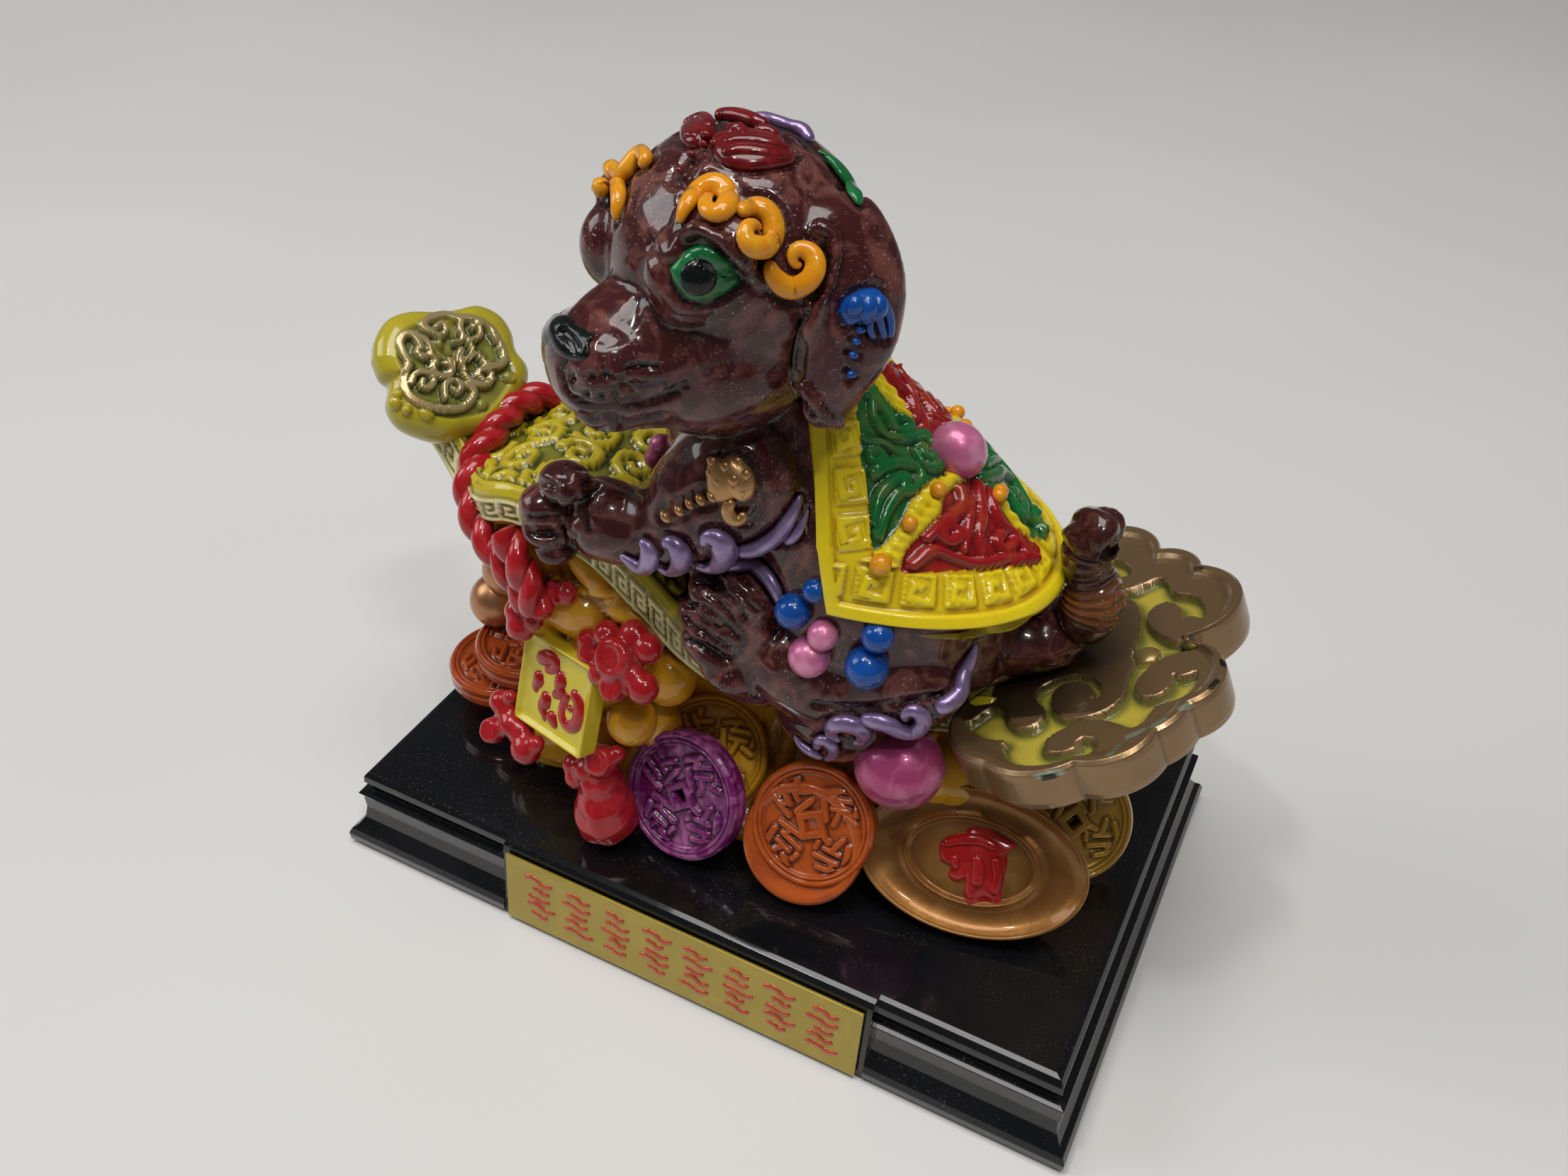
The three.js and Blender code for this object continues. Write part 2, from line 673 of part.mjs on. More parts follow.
/** A paw's toes: eggs side by side along a row, all pointing one way, the inner ones longer. */
function toes(middle, row, way, count, size) {
  return Array.from({ length: count }, (_, i) => {
    const share = i - (count - 1) / 2;
    const centre = middle.clone().addScaledVector(row, share * size * 1.2 * SHARE);
    const length = size * (2 - 0.13 * Math.abs(share) - 0.05 * share);
    return egg(centre, length, size * 0.75, size * (1.15 - 0.04 * share), 0, way, row);
  });
}

/** The four legs; the far paws are plain. */
function legs() {
  const pieces = [];
  for (const [side, sides] of [[-1, 7], [1, 5]]) {
    const fore = [[-4, side * 11, 62, 6, 8], [-2.5, side * 17.4, 58.4, 5.4, 5.6], [-12, side * 18.6, 56.6, 4.2, 4.8]];
    pieces.push(limb([...fore, [-23, side * 18.4, 54.6, 4, 4.8]], sides));
    pieces.push(limb([[17, side * 15, 33, 6, 8], [8, side * 18.4, 33.5, 4.8, 6], [-2.6, side * 20, 40.6, 4, 6]], sides));
    pieces.push(egg(at(20, side * 12.5, 33), 13.5, 9.5, 10, side < 0 ? 1 : 0, dir(1, 0, 0.1)));
  }
  pieces.push(...toes(at(-26.6, -18.4, 53.6), dir(0.1, -0.3, -1), dir(-1, 0, -0.1), 4, 2.6));
  pieces.push(...toes(at(-6.6, -20.6, 43), dir(-0.5, -0.1, -0.8), dir(-0.75, 0, 0.6), 3, 3.2));
  return join(pieces);
}

function tail() {
  const base = [[33, 0, 33.4, 6, 5], [37.5, 0, 35, 4.4, 4.2], [39.4, 0, 39, 3.8, 4]];
  const curl = [[39.6, 0, 42.6, 3.6, 3.8], [39.6, 0, 47, 3.8, 3.8], [39, 0, 51, 4.4, 4.4], [39.4, 0, 53.4, 4.2, 4]];
  const collar = turned([[0, -2], [4.9, -1.4], [4.9, 1.4], [0, 2]], frameOf(at(39.6, 0, 41.4), UP, dir(1, 0, 0)), 8);
  const across = dir(0, 1, 0);
  return join([limb(base, 7, across), limb(curl, 7, across), collar]);
}

// The puppy's head, in its own frame: x forward to the nose, y to its left, z up
const HEAD_TURN = THREE.MathUtils.degToRad(50);
const HEAD_ROLL = THREE.MathUtils.degToRad(11);
const HEAD_PLACE = [-6.5, -7, 87.1];
const SKULL_RADIUS = 16.4;

function headFrame() {
  const turn = new THREE.Matrix4().makeRotationZ(Math.PI + HEAD_TURN);
  const roll = new THREE.Matrix4().makeRotationX(HEAD_ROLL);
  return new THREE.Matrix4().makeTranslation(at(...HEAD_PLACE)).multiply(turn).multiply(roll);
}

function head() {
  const frame = headFrame();
  const place = (x, y, z) => at(x, y, z).applyMatrix4(frame);
  const heading = (x, y, z) => dir(x, y, z).transformDirection(frame);
  const forward = heading(1, 0, 0);
  const blob = (x, y, z, a, b, c, detail) => egg(place(x, y, z), a, b, c, detail, forward, heading(0, 0, 1));
  const muzzleStations = [
    [3, -6, 13.4, 13.6],
    [12, -6.8, 11.4, 10.8],
    [18, -7.6, 9, 9.4],
    [22.6, -7, 7.2, 6.9],
    [25.4, -7, 4.4, 4.4],
  ];
  const muzzle = skin(muzzleStations.map(([x, z, a, b]) =>
    oval(place(x, 0, z), heading(0, 1, 0), heading(0, 0, 1), a * SHARE, b * SHARE, 11)));
  const pieces = [
    blob(0, 0, 0, SKULL_RADIUS, SKULL_RADIUS, SKULL_RADIUS, 2),
    muzzle,
    blob(23.4, 0.4, -2.8, 2.9, 4.4, 3.4, 0),
    blob(5, 0, -9.6, 12.6, 12.8, 10, 1),
    blob(2.6, 3, 13.6, 7.8, 7.2, 3.6, 0),
    egg(place(-6, 12, 8.8), 5, 3, 1.6, 0, dir(0.7, 0, -0.7), heading(-0.37, 0.75, 0.55)),
  ];
  for (const side of [-1, 1]) {
    pieces.push(egg(place(10.7, side * 10.9, 2.6), 4.7, 2.4, 4, 0, heading(0.7, -side * 0.7, 0)));
    pieces.push(...brow(place, heading, side));
    pieces.push(ear(place, heading, side));
  }
  return join(pieces);
}

/** The curls over an eye: three on the near side, two on the far one. */
function brow(place, heading, side) {
  const curls = [[8.4, 10.6, 9.7], [5.3, 14, 7.3], [2.2, 16.2, 2.6]];
  return curls.slice(0, side > 0 ? 3 : 2).map(([x, y, z]) => {
    const normal = heading(x, side * y, z);
    const middle = place(x, side * y, z).addScaledVector(normal, -0.1 * SHARE);
    return turned([[0, -1.4], [2.7, -1.4], [2.7, 0.8], [0, 1.6]], frameOf(middle, normal, UP), 5);
  });
}

/** A hanging ear: a thin lobe from the side of the skull down to the jaw. */
function ear(place, heading, side) {
  const forward = side < 0 ? 6 : 0;
  const stations = [
    [-5.6, 11.6, 6.6, 5.4, 2],
    [-5.2, 15.4, 3.6, 6, 2.2],
    [-4.6, 17, -2, 6.6, 2],
    [-4, 17, -7.6, 6, 2],
    [-1.4, 16, -13.6, 3.6, 1.7],
    [-0.6, 15.4, -17.2, 1.5, 1],
  ];
  return skin(stations.map(([x, y, z, a, b]) =>
    oval(place(x + forward, side * y, z), heading(1, 0, 0.1), heading(0, side, 0), a * SHARE, b * SHARE, side > 0 ? 8 : 5)));
}

/** Scrolls, beads and droplets on the body. */
function ornaments() {
  return join([
    ball(7.4, -19.6, 44.6, 2.3, 0),
    ball(9.2, -20.2, 39.6, 2.3, 0),
    ball(17.8, -21.6, 37.4, 2.8, 0),
    ball(18.8, -20.2, 41.8, 2.1, 0),
    ball(20.6, -19.6, 24.4, 5.8, 0),
    limb([[28.6, -17.6, 40, 1, 1], [26.4, -19.8, 35.2, 1.6, 1.6], [22, -21, 31, 2.2, 2.2]], 5),
    ball(16.4, -21.4, 28.8, 2.2, 0),
    ball(-14.6, -21.6, 52.8, 2.3, 0),
    ball(-7.8, -22, 53.8, 2.7, 0),
    limb([[-3.4, -21.6, 54.8, 2, 2], [0.6, -20, 57, 1.7, 1.7], [3.8, -17.6, 61, 1.1, 1.1]], 5),
    egg(at(-2.6, -18.6, 63.6), 4.6, 2, 3.4, 0, dir(-1, 0, -0.5)),
  ]);
}

/** The neck and chest: full forms between the torso, the head and the sceptre. */
function neck() {
  return join([
    egg(at(-5, -4, 60), 12, 13, 13, 0),
    egg(at(-13, 0, 48), 9, 14, 9, 0),
  ]);
}

/** A block below the underside that trims the heap flat. */
function trimBlock() {
  const geometry = new THREE.BoxGeometry(2 * FIGURE_LENGTH, FIGURE_LENGTH, 20 * SHARE);
  geometry.translate(0, 0, -10 * SHARE);
  return solid(geometry);
}

function figurineSolid() {
  const whole = join([
    heapSolid(),
    ...amberLumps(),
    ...coins(),
    ...ingots(),
    ball(-50, 3, 17.4, 5, 0),
    ball(-46.5, 2, 24.6, 4.6, 0),
    shaftSolid(),
    headPlate(),
    tailPlate(),
    ropeSet(),
    plaque(),
    torso(0, 14),
    blanket(),
    legs(),
    tail(),
    neck(),
    head(),
    ornaments(),
  ]);
  return whole.subtract(trimBlock());
}

// Assembly

const lacquer = new THREE.MeshStandardMaterial({ name: "black_lacquer", color: 0x0c0d0e, roughness: 0.2, metalness: 0 });
const foil = new THREE.MeshStandardMaterial({ name: "gold_foil", color: 0xb8a63c, roughness: 0.35, metalness: 0.6 });
const enamel = new THREE.MeshStandardMaterial({ name: "painted_resin", color: 0x552624, roughness: 0.25, metalness: 0 });

function named(name, geometry, material) {
  const mesh = new THREE.Mesh(geometry, material);
  mesh.name = name;
  return mesh;
}

const figure = named("figurine", surface(figurineSolid()), enamel);
figure.position.z = FOOT;
figure.rotation.z = FIGURE_TURN;

const label = named("label_plate", surface(labelSolid()), foil);
const labelMiddle = LABEL_FOOT + (LABEL_HEIGHT / 2) * Math.cos(BLOCK_LEAN);
label.position.set((BLOCK_LEFT + BLOCK_RIGHT) / 2, blockFace(labelMiddle) - GAP, labelMiddle);
label.rotation.x = Math.PI / 2 - BLOCK_LEAN;

const ornament = new THREE.Group();
ornament.add(named("plinth", surface(plinthSolid()), lacquer), label, figure);

export default ornament;
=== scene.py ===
"""A painted resin puppy on a ruyi sceptre and a heap of coins, on a lacquered plinth."""
import logging
import math
from dataclasses import dataclass, field
from enum import Enum
from typing import Any, Callable, Sequence

import bmesh
import bpy
import numpy as np
from mathutils import Matrix, Vector
from mathutils.bvhtree import BVHTree


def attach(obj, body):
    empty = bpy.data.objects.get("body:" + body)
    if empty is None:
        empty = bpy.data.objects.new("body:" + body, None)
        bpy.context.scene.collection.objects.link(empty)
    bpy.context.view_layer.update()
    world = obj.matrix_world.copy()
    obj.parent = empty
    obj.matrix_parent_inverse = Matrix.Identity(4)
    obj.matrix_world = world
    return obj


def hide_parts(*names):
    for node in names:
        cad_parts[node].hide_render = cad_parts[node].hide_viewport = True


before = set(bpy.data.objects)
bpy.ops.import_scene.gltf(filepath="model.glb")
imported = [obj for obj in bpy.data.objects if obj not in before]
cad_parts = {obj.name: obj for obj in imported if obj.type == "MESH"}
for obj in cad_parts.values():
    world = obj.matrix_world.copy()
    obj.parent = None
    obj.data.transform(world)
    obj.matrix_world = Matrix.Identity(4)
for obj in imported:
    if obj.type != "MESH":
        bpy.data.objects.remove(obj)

log = logging.getLogger("ornament")

Array = np.ndarray
Pair = tuple[float, float]
Triple = tuple[float, float, float]
Form = bmesh.types.BMesh

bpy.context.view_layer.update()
MILLIMETRE = 0.001
FIGURE_LIFT = 15.3
FIGURE_TURN = math.radians(9)
FIGURE_DISTANCE = 205.0
PIXEL_ON_FIGURE = 0.105
END_SHARPNESS = 1e6
WELD = 1e-4
FEWEST_SHADED = 2000


class Place(Enum):
    """The frames that pieces are modelled in, as matrices to millimetres of the row's frame."""

    PLINTH = "plinth"
    FIGURE = "figure"

    def matrix(self) -> Matrix:
        """The matrix from this frame to the row's frame, in millimetres."""
        if self is Place.PLINTH:
            return Matrix.Identity(4)
        return Matrix.Translation((0, 0, FIGURE_LIFT)) @ Matrix.Rotation(FIGURE_TURN, 4, "Z")


# Shader maths


class Wire:
    """A shader socket that takes part in Python expressions."""

    def __init__(self, tree: "Shader", socket: bpy.types.NodeSocket) -> None:
        """Wraps a socket of a shader tree."""
        self.tree = tree
        self.socket = socket

    def _math(self, operation: str, *values: Any) -> "Wire":
        """One Math node on values and links."""
        return self.tree.node("ShaderNodeMath", {"operation": operation}, dict(enumerate(values)))

    def __add__(self, other: Any) -> "Wire":
        """Sum."""
        return self._math("ADD", self, other)

    __radd__ = __add__

    def __sub__(self, other: Any) -> "Wire":
        """Difference."""
        return self._math("SUBTRACT", self, other)

    def __rsub__(self, other: Any) -> "Wire":
        """Difference from a number."""
        return self._math("SUBTRACT", other, self)

    def __mul__(self, other: Any) -> "Wire":
        """Product."""
        return self._math("MULTIPLY", self, other)

    __rmul__ = __mul__

    def clipped(self, low: float, high: float) -> "Wire":
        """This value's share of the way from low to high, kept between 0 and 1."""
        return self.tree.node(
            "ShaderNodeMapRange", {"clamp": True}, {"Value": self, "From Min": low, "From Max": high}
        )


class Shader:
    """A material's node tree."""

    def __init__(self, name: str) -> None:
        """Starts an empty material with its output and one Principled BSDF."""
        self.material = bpy.data.materials.new(name)
        self.material.use_nodes = True
        self.nodes = self.material.node_tree.nodes
        self.links = self.material.node_tree.links
        self.nodes.clear()
        self.output = self.nodes.new("ShaderNodeOutputMaterial")
        self.surface = self.nodes.new("ShaderNodeBsdfPrincipled")
        self.links.new(self.surface.outputs[0], self.output.inputs[0])

    def node(self, kind: str, settings: dict[str, Any], inputs: dict[Any, Any], output: Any = 0) -> Wire:
        """Adds one node.

        Args:
            kind: the node's type.
            settings: its properties, set first.
            inputs: values or wires by socket name or number.
            output: which output to return.

        Returns:
            The chosen output.
        """
        node = self.nodes.new(kind)
        for key, value in settings.items():
            setattr(node, key, value)
        for key, value in inputs.items():
            self._feed(node.inputs[key], value)
        return Wire(self, node.outputs[output])

    def _feed(self, socket: bpy.types.NodeSocket, value: Any) -> None:
        """Links a wire to a socket, or sets its value."""
        if isinstance(value, Wire):
            self.links.new(value.socket, socket)
        elif isinstance(value, tuple) and len(value) == 3 and socket.type == "RGBA":
            socket.default_value = (*value, 1.0)
        else:
            socket.default_value = value

    def mix(self, share: Any, first: Any, second: Any) -> Wire:
        """A colour mixed from two by a share."""
        return self.node("ShaderNodeMix", {"data_type": "RGBA"}, {"Factor": share, "A": first, "B": second},
                         "Result")

    def noise(self, scale: float, detail: float = 3.0, distortion: float = 0.0) -> Wire:
        """Noise over the object's own coordinates, in repeats per metre."""
        where = self.node("ShaderNodeTexCoord", {}, {}, "Object")
        inputs = {"Vector": where, "Scale": scale, "Detail": detail, "Distortion": distortion}
        return self.node("ShaderNodeTexNoise", {}, inputs)

    def attribute(self, name: str, output: str) -> Wire:
        """A mesh attribute's value or colour."""
        return self.node("ShaderNodeAttribute", {"attribute_name": name}, {}, output)

    def feed(self, **inputs: Any) -> None:
        """Sets or links sockets of the Principled BSDF, with _ for a space in their names."""
        for key, value in inputs.items():
            self._feed(self.surface.inputs[key.replace("_", " ")], value)

    def bump(self, height: Wire, depth: float) -> None:
        """Feeds the normal from a height, in metres at its full value of 1."""
        normal = self.node("ShaderNodeBump", {}, {"Height": height, "Distance": depth}, "Normal")
        self.feed(Normal=normal)


@dataclass(frozen=True)
class Finish:
    """A painted or plated finish: its main colour, its blotches, and the painted shade that darkens its
    hollows.
    """

    name: str
    colour: Triple
    blotch: Triple
    hollow_shade: Triple
    roughness: float = 0.22
    metallic: float = 0.0
    coat: float = 1.0
    blotch_scale: float = 260.0
    blotch_share: float = 0.6
    grain: float = 0.00003
    grain_scale: float = 1400.0
    dust: float = 0.0
    painted: bool = False
    slot: str = "painted_resin"

    def material(self) -> bpy.types.Material:
        """The finish as a material, made once."""
        known = bpy.data.materials.get(self.name)
        if known:
            return known
        shader = Shader(self.name)
        colour: Any = shader.attribute("paint", "Color") if self.painted else self.colour
        patches = shader.noise(self.blotch_scale, 4.0, 1.2)
        share = patches.clipped(0.46, 0.68) * self.blotch_share
        if self.painted:
            tone = shader.mix(share, colour, shader.mix(0.62, colour, self.blotch))
        else:
            tone = shader.mix(share, colour, self.blotch)
        # Painted shade: each vertex darkens towards a shade tone by how deep it lies in a hollow; on painted
        # finishes that tone is the paint colour multiplied by it.
        hollow = shader.attribute("dip", "Fac").clipped(0.0, 1.0)
        deep: Any = self.hollow_shade
        if self.painted:
            deep = shader.node("ShaderNodeMix", {"data_type": "RGBA", "blend_type": "MULTIPLY"},
                               {"Factor": 1.0, "A": colour, "B": self.hollow_shade}, "Result")
        tone = shader.mix((hollow * (patches * 0.5 + 0.7)).clipped(0.0, 1.0), tone, deep)
        rough: Any = patches * 0.12 + (self.roughness - 0.05)
        if self.dust > 0:
            specks = shader.noise(2600.0, 2.0).clipped(0.64, 0.69)
            specks = specks * shader.noise(90.0, 2.0).clipped(0.42, 0.62) * self.dust
            tone = shader.mix(specks, tone, (0.36, 0.31, 0.30))
            rough = rough + specks * 0.4
        shader.feed(
            Base_Color=tone,
            Roughness=rough,
            Metallic=shader.attribute("metal", "Fac") * 0.7 if self.painted else self.metallic,
            Coat_Weight=self.coat,
            Coat_Roughness=0.04,
            Coat_IOR=1.38,
            Specular_IOR_Level=0.2,
        )
        shader.bump(shader.noise(self.grain_scale, 3.0), self.grain)
        return shader.material


class Paint(Enum):
    """The enamels and plated finishes of the ornament."""

    MAROON = Finish("maroon_enamel", (0.05, 0.009, 0.0085), (0.2, 0.068, 0.056), (0.008, 0.002, 0.002),
                    blotch_share=0.85, dust=0.8)
    BLACK = Finish("nose_black", (0.003, 0.0045, 0.0045), (0.008, 0.011, 0.011), (0.001, 0.001, 0.001),
                   dust=0.15, coat=0.6)
    AMBER = Finish("brow_amber", (0.72, 0.27, 0.008), (0.82, 0.45, 0.02), (0.36, 0.07, 0.004), roughness=0.2)
    PAINTED = Finish("painted_enamel", (0.5, 0.5, 0.5), (0.5, 0.22, 0.02), (0.42, 0.2, 0.2), painted=True,
                     blotch_share=0.22)
    RED = Finish("red_enamel", (0.34, 0.007, 0.007), (0.5, 0.03, 0.025), (0.05, 0.002, 0.002))
    DARK_RED = Finish("dark_red_enamel", (0.12, 0.003, 0.005), (0.3, 0.012, 0.014), (0.018, 0.0015, 0.0015),
                      blotch_scale=420.0)
    GREEN = Finish("green_enamel", (0.006, 0.12, 0.03), (0.012, 0.2, 0.055), (0.002, 0.015, 0.008))
    BLUE = Finish("blue_enamel", (0.003, 0.06, 0.3), (0.01, 0.12, 0.46), (0.002, 0.012, 0.06),
                  blotch_share=0.4)
    MAUVE = Finish("mauve_pearl", (0.25, 0.17, 0.34), (0.46, 0.36, 0.58), (0.04, 0.015, 0.05), roughness=0.3,
                   metallic=0.55)
    PINK = Finish("pink_pearl", (0.62, 0.16, 0.32), (0.86, 0.4, 0.55), (0.2, 0.02, 0.06), roughness=0.34,
                  metallic=0.3, coat=0.8)
    MAGENTA = Finish("magenta_pearl", (0.42, 0.06, 0.17), (0.72, 0.27, 0.42), (0.09, 0.006, 0.02),
                     roughness=0.33, metallic=0.3, coat=0.9, blotch_scale=200.0)
    GOLD = Finish("ornament_gold", (0.46, 0.25, 0.1), (0.72, 0.45, 0.2), (0.07, 0.03, 0.015), roughness=0.34,
                  metallic=0.75, coat=0.5)
    COPPER = Finish("copper_ball", (0.5, 0.24, 0.11), (0.65, 0.36, 0.18), (0.1, 0.04, 0.02), roughness=0.36,
                    metallic=0.8, coat=0.4)
    INGOT = Finish("ingot_gold", (0.29, 0.125, 0.028), (0.46, 0.24, 0.07), (0.1, 0.03, 0.008), roughness=0.36,
                   metallic=0.5, coat=0.6, blotch_scale=160.0)
    HEAP = Finish("amber_heap", (0.62, 0.27, 0.012), (0.78, 0.46, 0.03), (0.14, 0.045, 0.006),
                  blotch_scale=150.0, roughness=0.2)
    PURPLE = Finish("purple_coin", (0.16, 0.01, 0.115), (0.44, 0.12, 0.33), (0.015, 0.003, 0.012),
                    blotch_scale=420.0, blotch_share=0.8)
    ORANGE = Finish("orange_coin", (0.46, 0.085, 0.01), (0.3, 0.045, 0.012), (0.035, 0.008, 0.005))
    OLIVE = Finish("olive_coin", (0.44, 0.24, 0.03), (0.54, 0.33, 0.06), (0.06, 0.04, 0.015), metallic=0.3)
    ROPE = Finish("rope_red", (0.36, 0.008, 0.012), (0.52, 0.045, 0.055), (0.07, 0.003, 0.004),
                  blotch_share=0.5)
    OLIVE_PAINTED = Finish("sceptre_gilt", (0.5, 0.5, 0.5), (0.4, 0.22, 0.02), (0.12, 0.16, 0.2),
                           roughness=0.24, painted=True, blotch_share=0.35, blotch_scale=160.0)
    PLATE = Finish("plate_gilt", (0.5, 0.5, 0.5), (0.2, 0.1, 0.03), (0.2, 0.25, 0.25), roughness=0.3,
                   painted=True, blotch_share=0.3, blotch_scale=160.0, coat=0.5)
    RUST = Finish("rust_coin", (0.42, 0.07, 0.012), (0.26, 0.05, 0.02), (0.07, 0.014, 0.008))
    PLAQUE = Finish("plaque_yellow", (0.64, 0.52, 0.02), (0.72, 0.6, 0.06), (0.3, 0.2, 0.01))
    TAIL = Finish("tail_enamel", (0.5, 0.5, 0.5), (0.16, 0.06, 0.03), (0.16, 0.14, 0.14), blotch_scale=420.0,
                  blotch_share=0.7, painted=True, dust=0.6)


# Modelling


def smooth_path(points: Sequence[Sequence[float]], count: int) -> Array:
    """A path through points, rounded at them and evenly spaced.

    Args:
        points: the points it passes.
        count: how many points to return.

    Returns:
        An array of count rows.
    """
    knots = np.asarray(points, float)
    if len(knots) < 3:
        share = np.linspace(0, 1, count)[:, None]
        return knots[0] * (1 - share) + knots[-1] * share
    ends = np.vstack([2 * knots[0] - knots[1], knots, 2 * knots[-1] - knots[-2]])
    rows = []
    for i in range(len(knots) - 1):
        a, b, c, d = ends[i : i + 4]
        t = np.linspace(0, 1, 16, endpoint=False)[:, None]
        bend, twist = 2 * a - 5 * b + 4 * c - d, 3 * b - a - 3 * c + d
        rows.append(0.5 * (2 * b + (c - a) * t + bend * t**2 + twist * t**3))
    dense = np.vstack(rows + [knots[-1:]])
    run = run_along(dense[:, :3])
    where = np.linspace(0, run[-1], count)
    return sampled(where, run, dense)


def unit(vectors: Array) -> Array:
    """Vectors scaled to length 1."""
    return vectors / np.maximum(np.linalg.norm(vectors, axis=-1, keepdims=True), 1e-9)


def ease(values: Array) -> Array:
    """A smooth step from 0 to 1."""
    share = np.clip(values, 0, 1)
    return share * share * (3 - 2 * share)


def run_along(points: Array) -> Array:
    """How far along a path each of its points lies."""
    return np.concatenate([[0], np.cumsum(np.linalg.norm(np.diff(points, axis=0), axis=1))])


def sampled(shares: Array, steps: Sequence[float], rows: Array) -> Array:
    """A table's rows read between its steps, one for each share."""
    return np.stack([np.interp(shares, steps, rows[:, k]) for k in range(rows.shape[1])], 1)


def drawn_in(shares: Array) -> Array:
    """0 at both ends of a shape and 1 between them, which closes its ends in a point."""
    return np.clip(np.minimum(shares, 1 - shares) * END_SHARPNESS, 0, 1)


def moved(matrix: Matrix, points: Array) -> Array:
    """Points carried by a matrix."""
    rows = np.array(matrix)
    return points @ rows[:3, :3].T + rows[:3, 3]


def wrapped(around: int, along: int, place: Callable[[Array, Array], Array]) -> Form:
    """A closed surface laid over a grid, with its seam and ends merged and its faces turned out.

    Args:
        around: faces round the shape.
        along: faces along it.
        place: gives the points for two arrays of shares from 0 to 1.

    Returns:
        The new mesh.
    """
    bm = bmesh.new()
    bmesh.ops.create_grid(bm, x_segments=around, y_segments=along, size=1.0)
    shares = (np.array([vert.co[:2] for vert in bm.verts]) + 1) / 2
    for vert, point in zip(bm.verts, place(shares[:, 0], shares[:, 1])):
        vert.co = point
    bmesh.ops.remove_doubles(bm, verts=bm.verts, dist=WELD)
    bmesh.ops.recalc_face_normals(bm, faces=bm.faces)
    return bm


def tube(
    points: Array, over: Array, wide: Array, high: Array, sides: int = 14, blunt: float = 1.0,
    step: float = 0.45
) -> Form:
    """A closed round-ended tube along points.

    Args:
        points: its middle line.
        over: the direction of its height at each point.
        wide: half its width at each point.
        high: half its height at each point.
        sides: faces round it.
        blunt: the length of each rounded end, in local half widths.
        step: the length of its faces, in half widths.

    Returns:
        The new mesh.
    """
    run = run_along(points)
    along = unit(np.gradient(points, axis=0))
    across = unit(np.cross(along, over))
    up = np.cross(across, along)
    first, last = blunt * wide[0] + 1e-6, blunt * wide[-1] + 1e-6

    def place(u: Array, v: Array) -> Array:
        """Points of the tube for shares round and along it."""
        where = (1 - np.cos(v * math.pi)) / 2 * 0.35 + v * 0.65
        s = where * run[-1]
        pick = [sampled(s, run, rows) for rows in (points, across, up)]
        low = np.clip(1 - s / first, 0, 1)
        top = np.clip(1 - (run[-1] - s) / last, 0, 1)
        shrink = np.sqrt(np.clip(1 - low**2, 0, 1)) * np.sqrt(np.clip(1 - top**2, 0, 1))
        a = (np.interp(s, run, wide) * shrink * np.cos(2 * math.pi * u))[:, None]
        b = (np.interp(s, run, high) * shrink * np.sin(2 * math.pi * u))[:, None]
        return pick[0] + a * pick[1] + b * pick[2]

    steps = max(8, int(run[-1] / max(0.12 if step < 0.1 else 0.35, float(np.min(wide)) * step)))
    return wrapped(sides, min(steps, 260), place)


def egg(centre: Triple, sizes: Triple, heading: Triple = (1, 0, 0), above: Triple = (0, 0, 1)) -> Form:
    """An ellipsoid whose first axis points along a heading and whose third is nearest to above."""
    bm = bmesh.new()
    bmesh.ops.create_icosphere(bm, subdivisions=4, radius=1.0)
    x = Vector(heading).normalized()
    y = Vector(above).cross(x).normalized()
    turn = Matrix((x, y, x.cross(y))).transposed().to_4x4()
    matrix = Matrix.Translation(centre) @ turn @ Matrix.Diagonal((*sizes, 1))
    bmesh.ops.transform(bm, matrix=matrix, verts=bm.verts)
    return bm


def turned(profile: Sequence[Pair], matrix: Matrix, steps: int = 96) -> Form:
    """A solid spun from its [radius, height] profile, placed by a matrix."""
    bm = bmesh.new()
    verts = [bm.verts.new((r, 0, z)) for r, z in profile]
    edges = [bm.edges.new(pair) for pair in zip(verts, verts[1:])]
    bmesh.ops.spin(
        bm, geom=verts + edges, cent=(0, 0, 0), axis=(0, 0, 1), angle=2 * math.pi, steps=steps, use_merge=True
    )
    bmesh.ops.remove_doubles(bm, verts=bm.verts, dist=WELD)
    bmesh.ops.recalc_face_normals(bm, faces=bm.faces)
    bmesh.ops.transform(bm, matrix=matrix, verts=bm.verts)
    return bm


def facing(centre: Sequence[float], normal: Sequence[float], above: Sequence[float] = (0, 0, 1)) -> Matrix:
    """A matrix whose Z looks along a normal and whose X is nearest to above."""
    z = Vector(normal).normalized()
    side = z.cross(Vector(above))
    y = (side if side.length > 1e-6 else z.cross(Vector((1, 0, 0)))).normalized()
    turn = Matrix((y.cross(z), y, z)).transposed().to_4x4()
    return Matrix.Translation(centre) @ turn


def gathered(parts: Sequence[Form]) -> Form:
    """Several meshes in one."""
    whole = bmesh.new()
    for part in parts:
        scrap = bpy.data.meshes.new("scrap")
        part.to_mesh(scrap)
        part.free()
        whole.from_mesh(scrap)
        bpy.data.meshes.remove(scrap)
    return whole


@dataclass
class Ridge:
    """A raised or sunk line on a surface: its middle points, half widths and height."""

    points: Array
    wide: Array
    high: float
    flat: float = 0.0

    def lift(self, where: Array) -> Array:
        """The height this line gives at points.

        Args:
            where: the points, an array of rows.

        Returns:
            A height for each, 0 away from the line.
        """
        heights = np.zeros(len(where))
        reach = float(self.wide.max())
        low, high = self.points.min(0) - reach, self.points.max(0) + reach
        near = np.nonzero(((where >= low) & (where <= high)).all(1))[0]
        for block in np.array_split(near, max(1, len(near) // 4000)):
            if not len(block):
                continue
            gap = np.linalg.norm(where[block, None, :] - self.points[None], axis=2)
            if self.flat:
                share = ease((self.wide[None] - gap) / self.flat)
            else:
                share = np.sqrt(np.clip(1 - (gap / self.wide[None]) ** 2, 0, 1))
            heights[block] = self.high * share.max(1)
        return heights


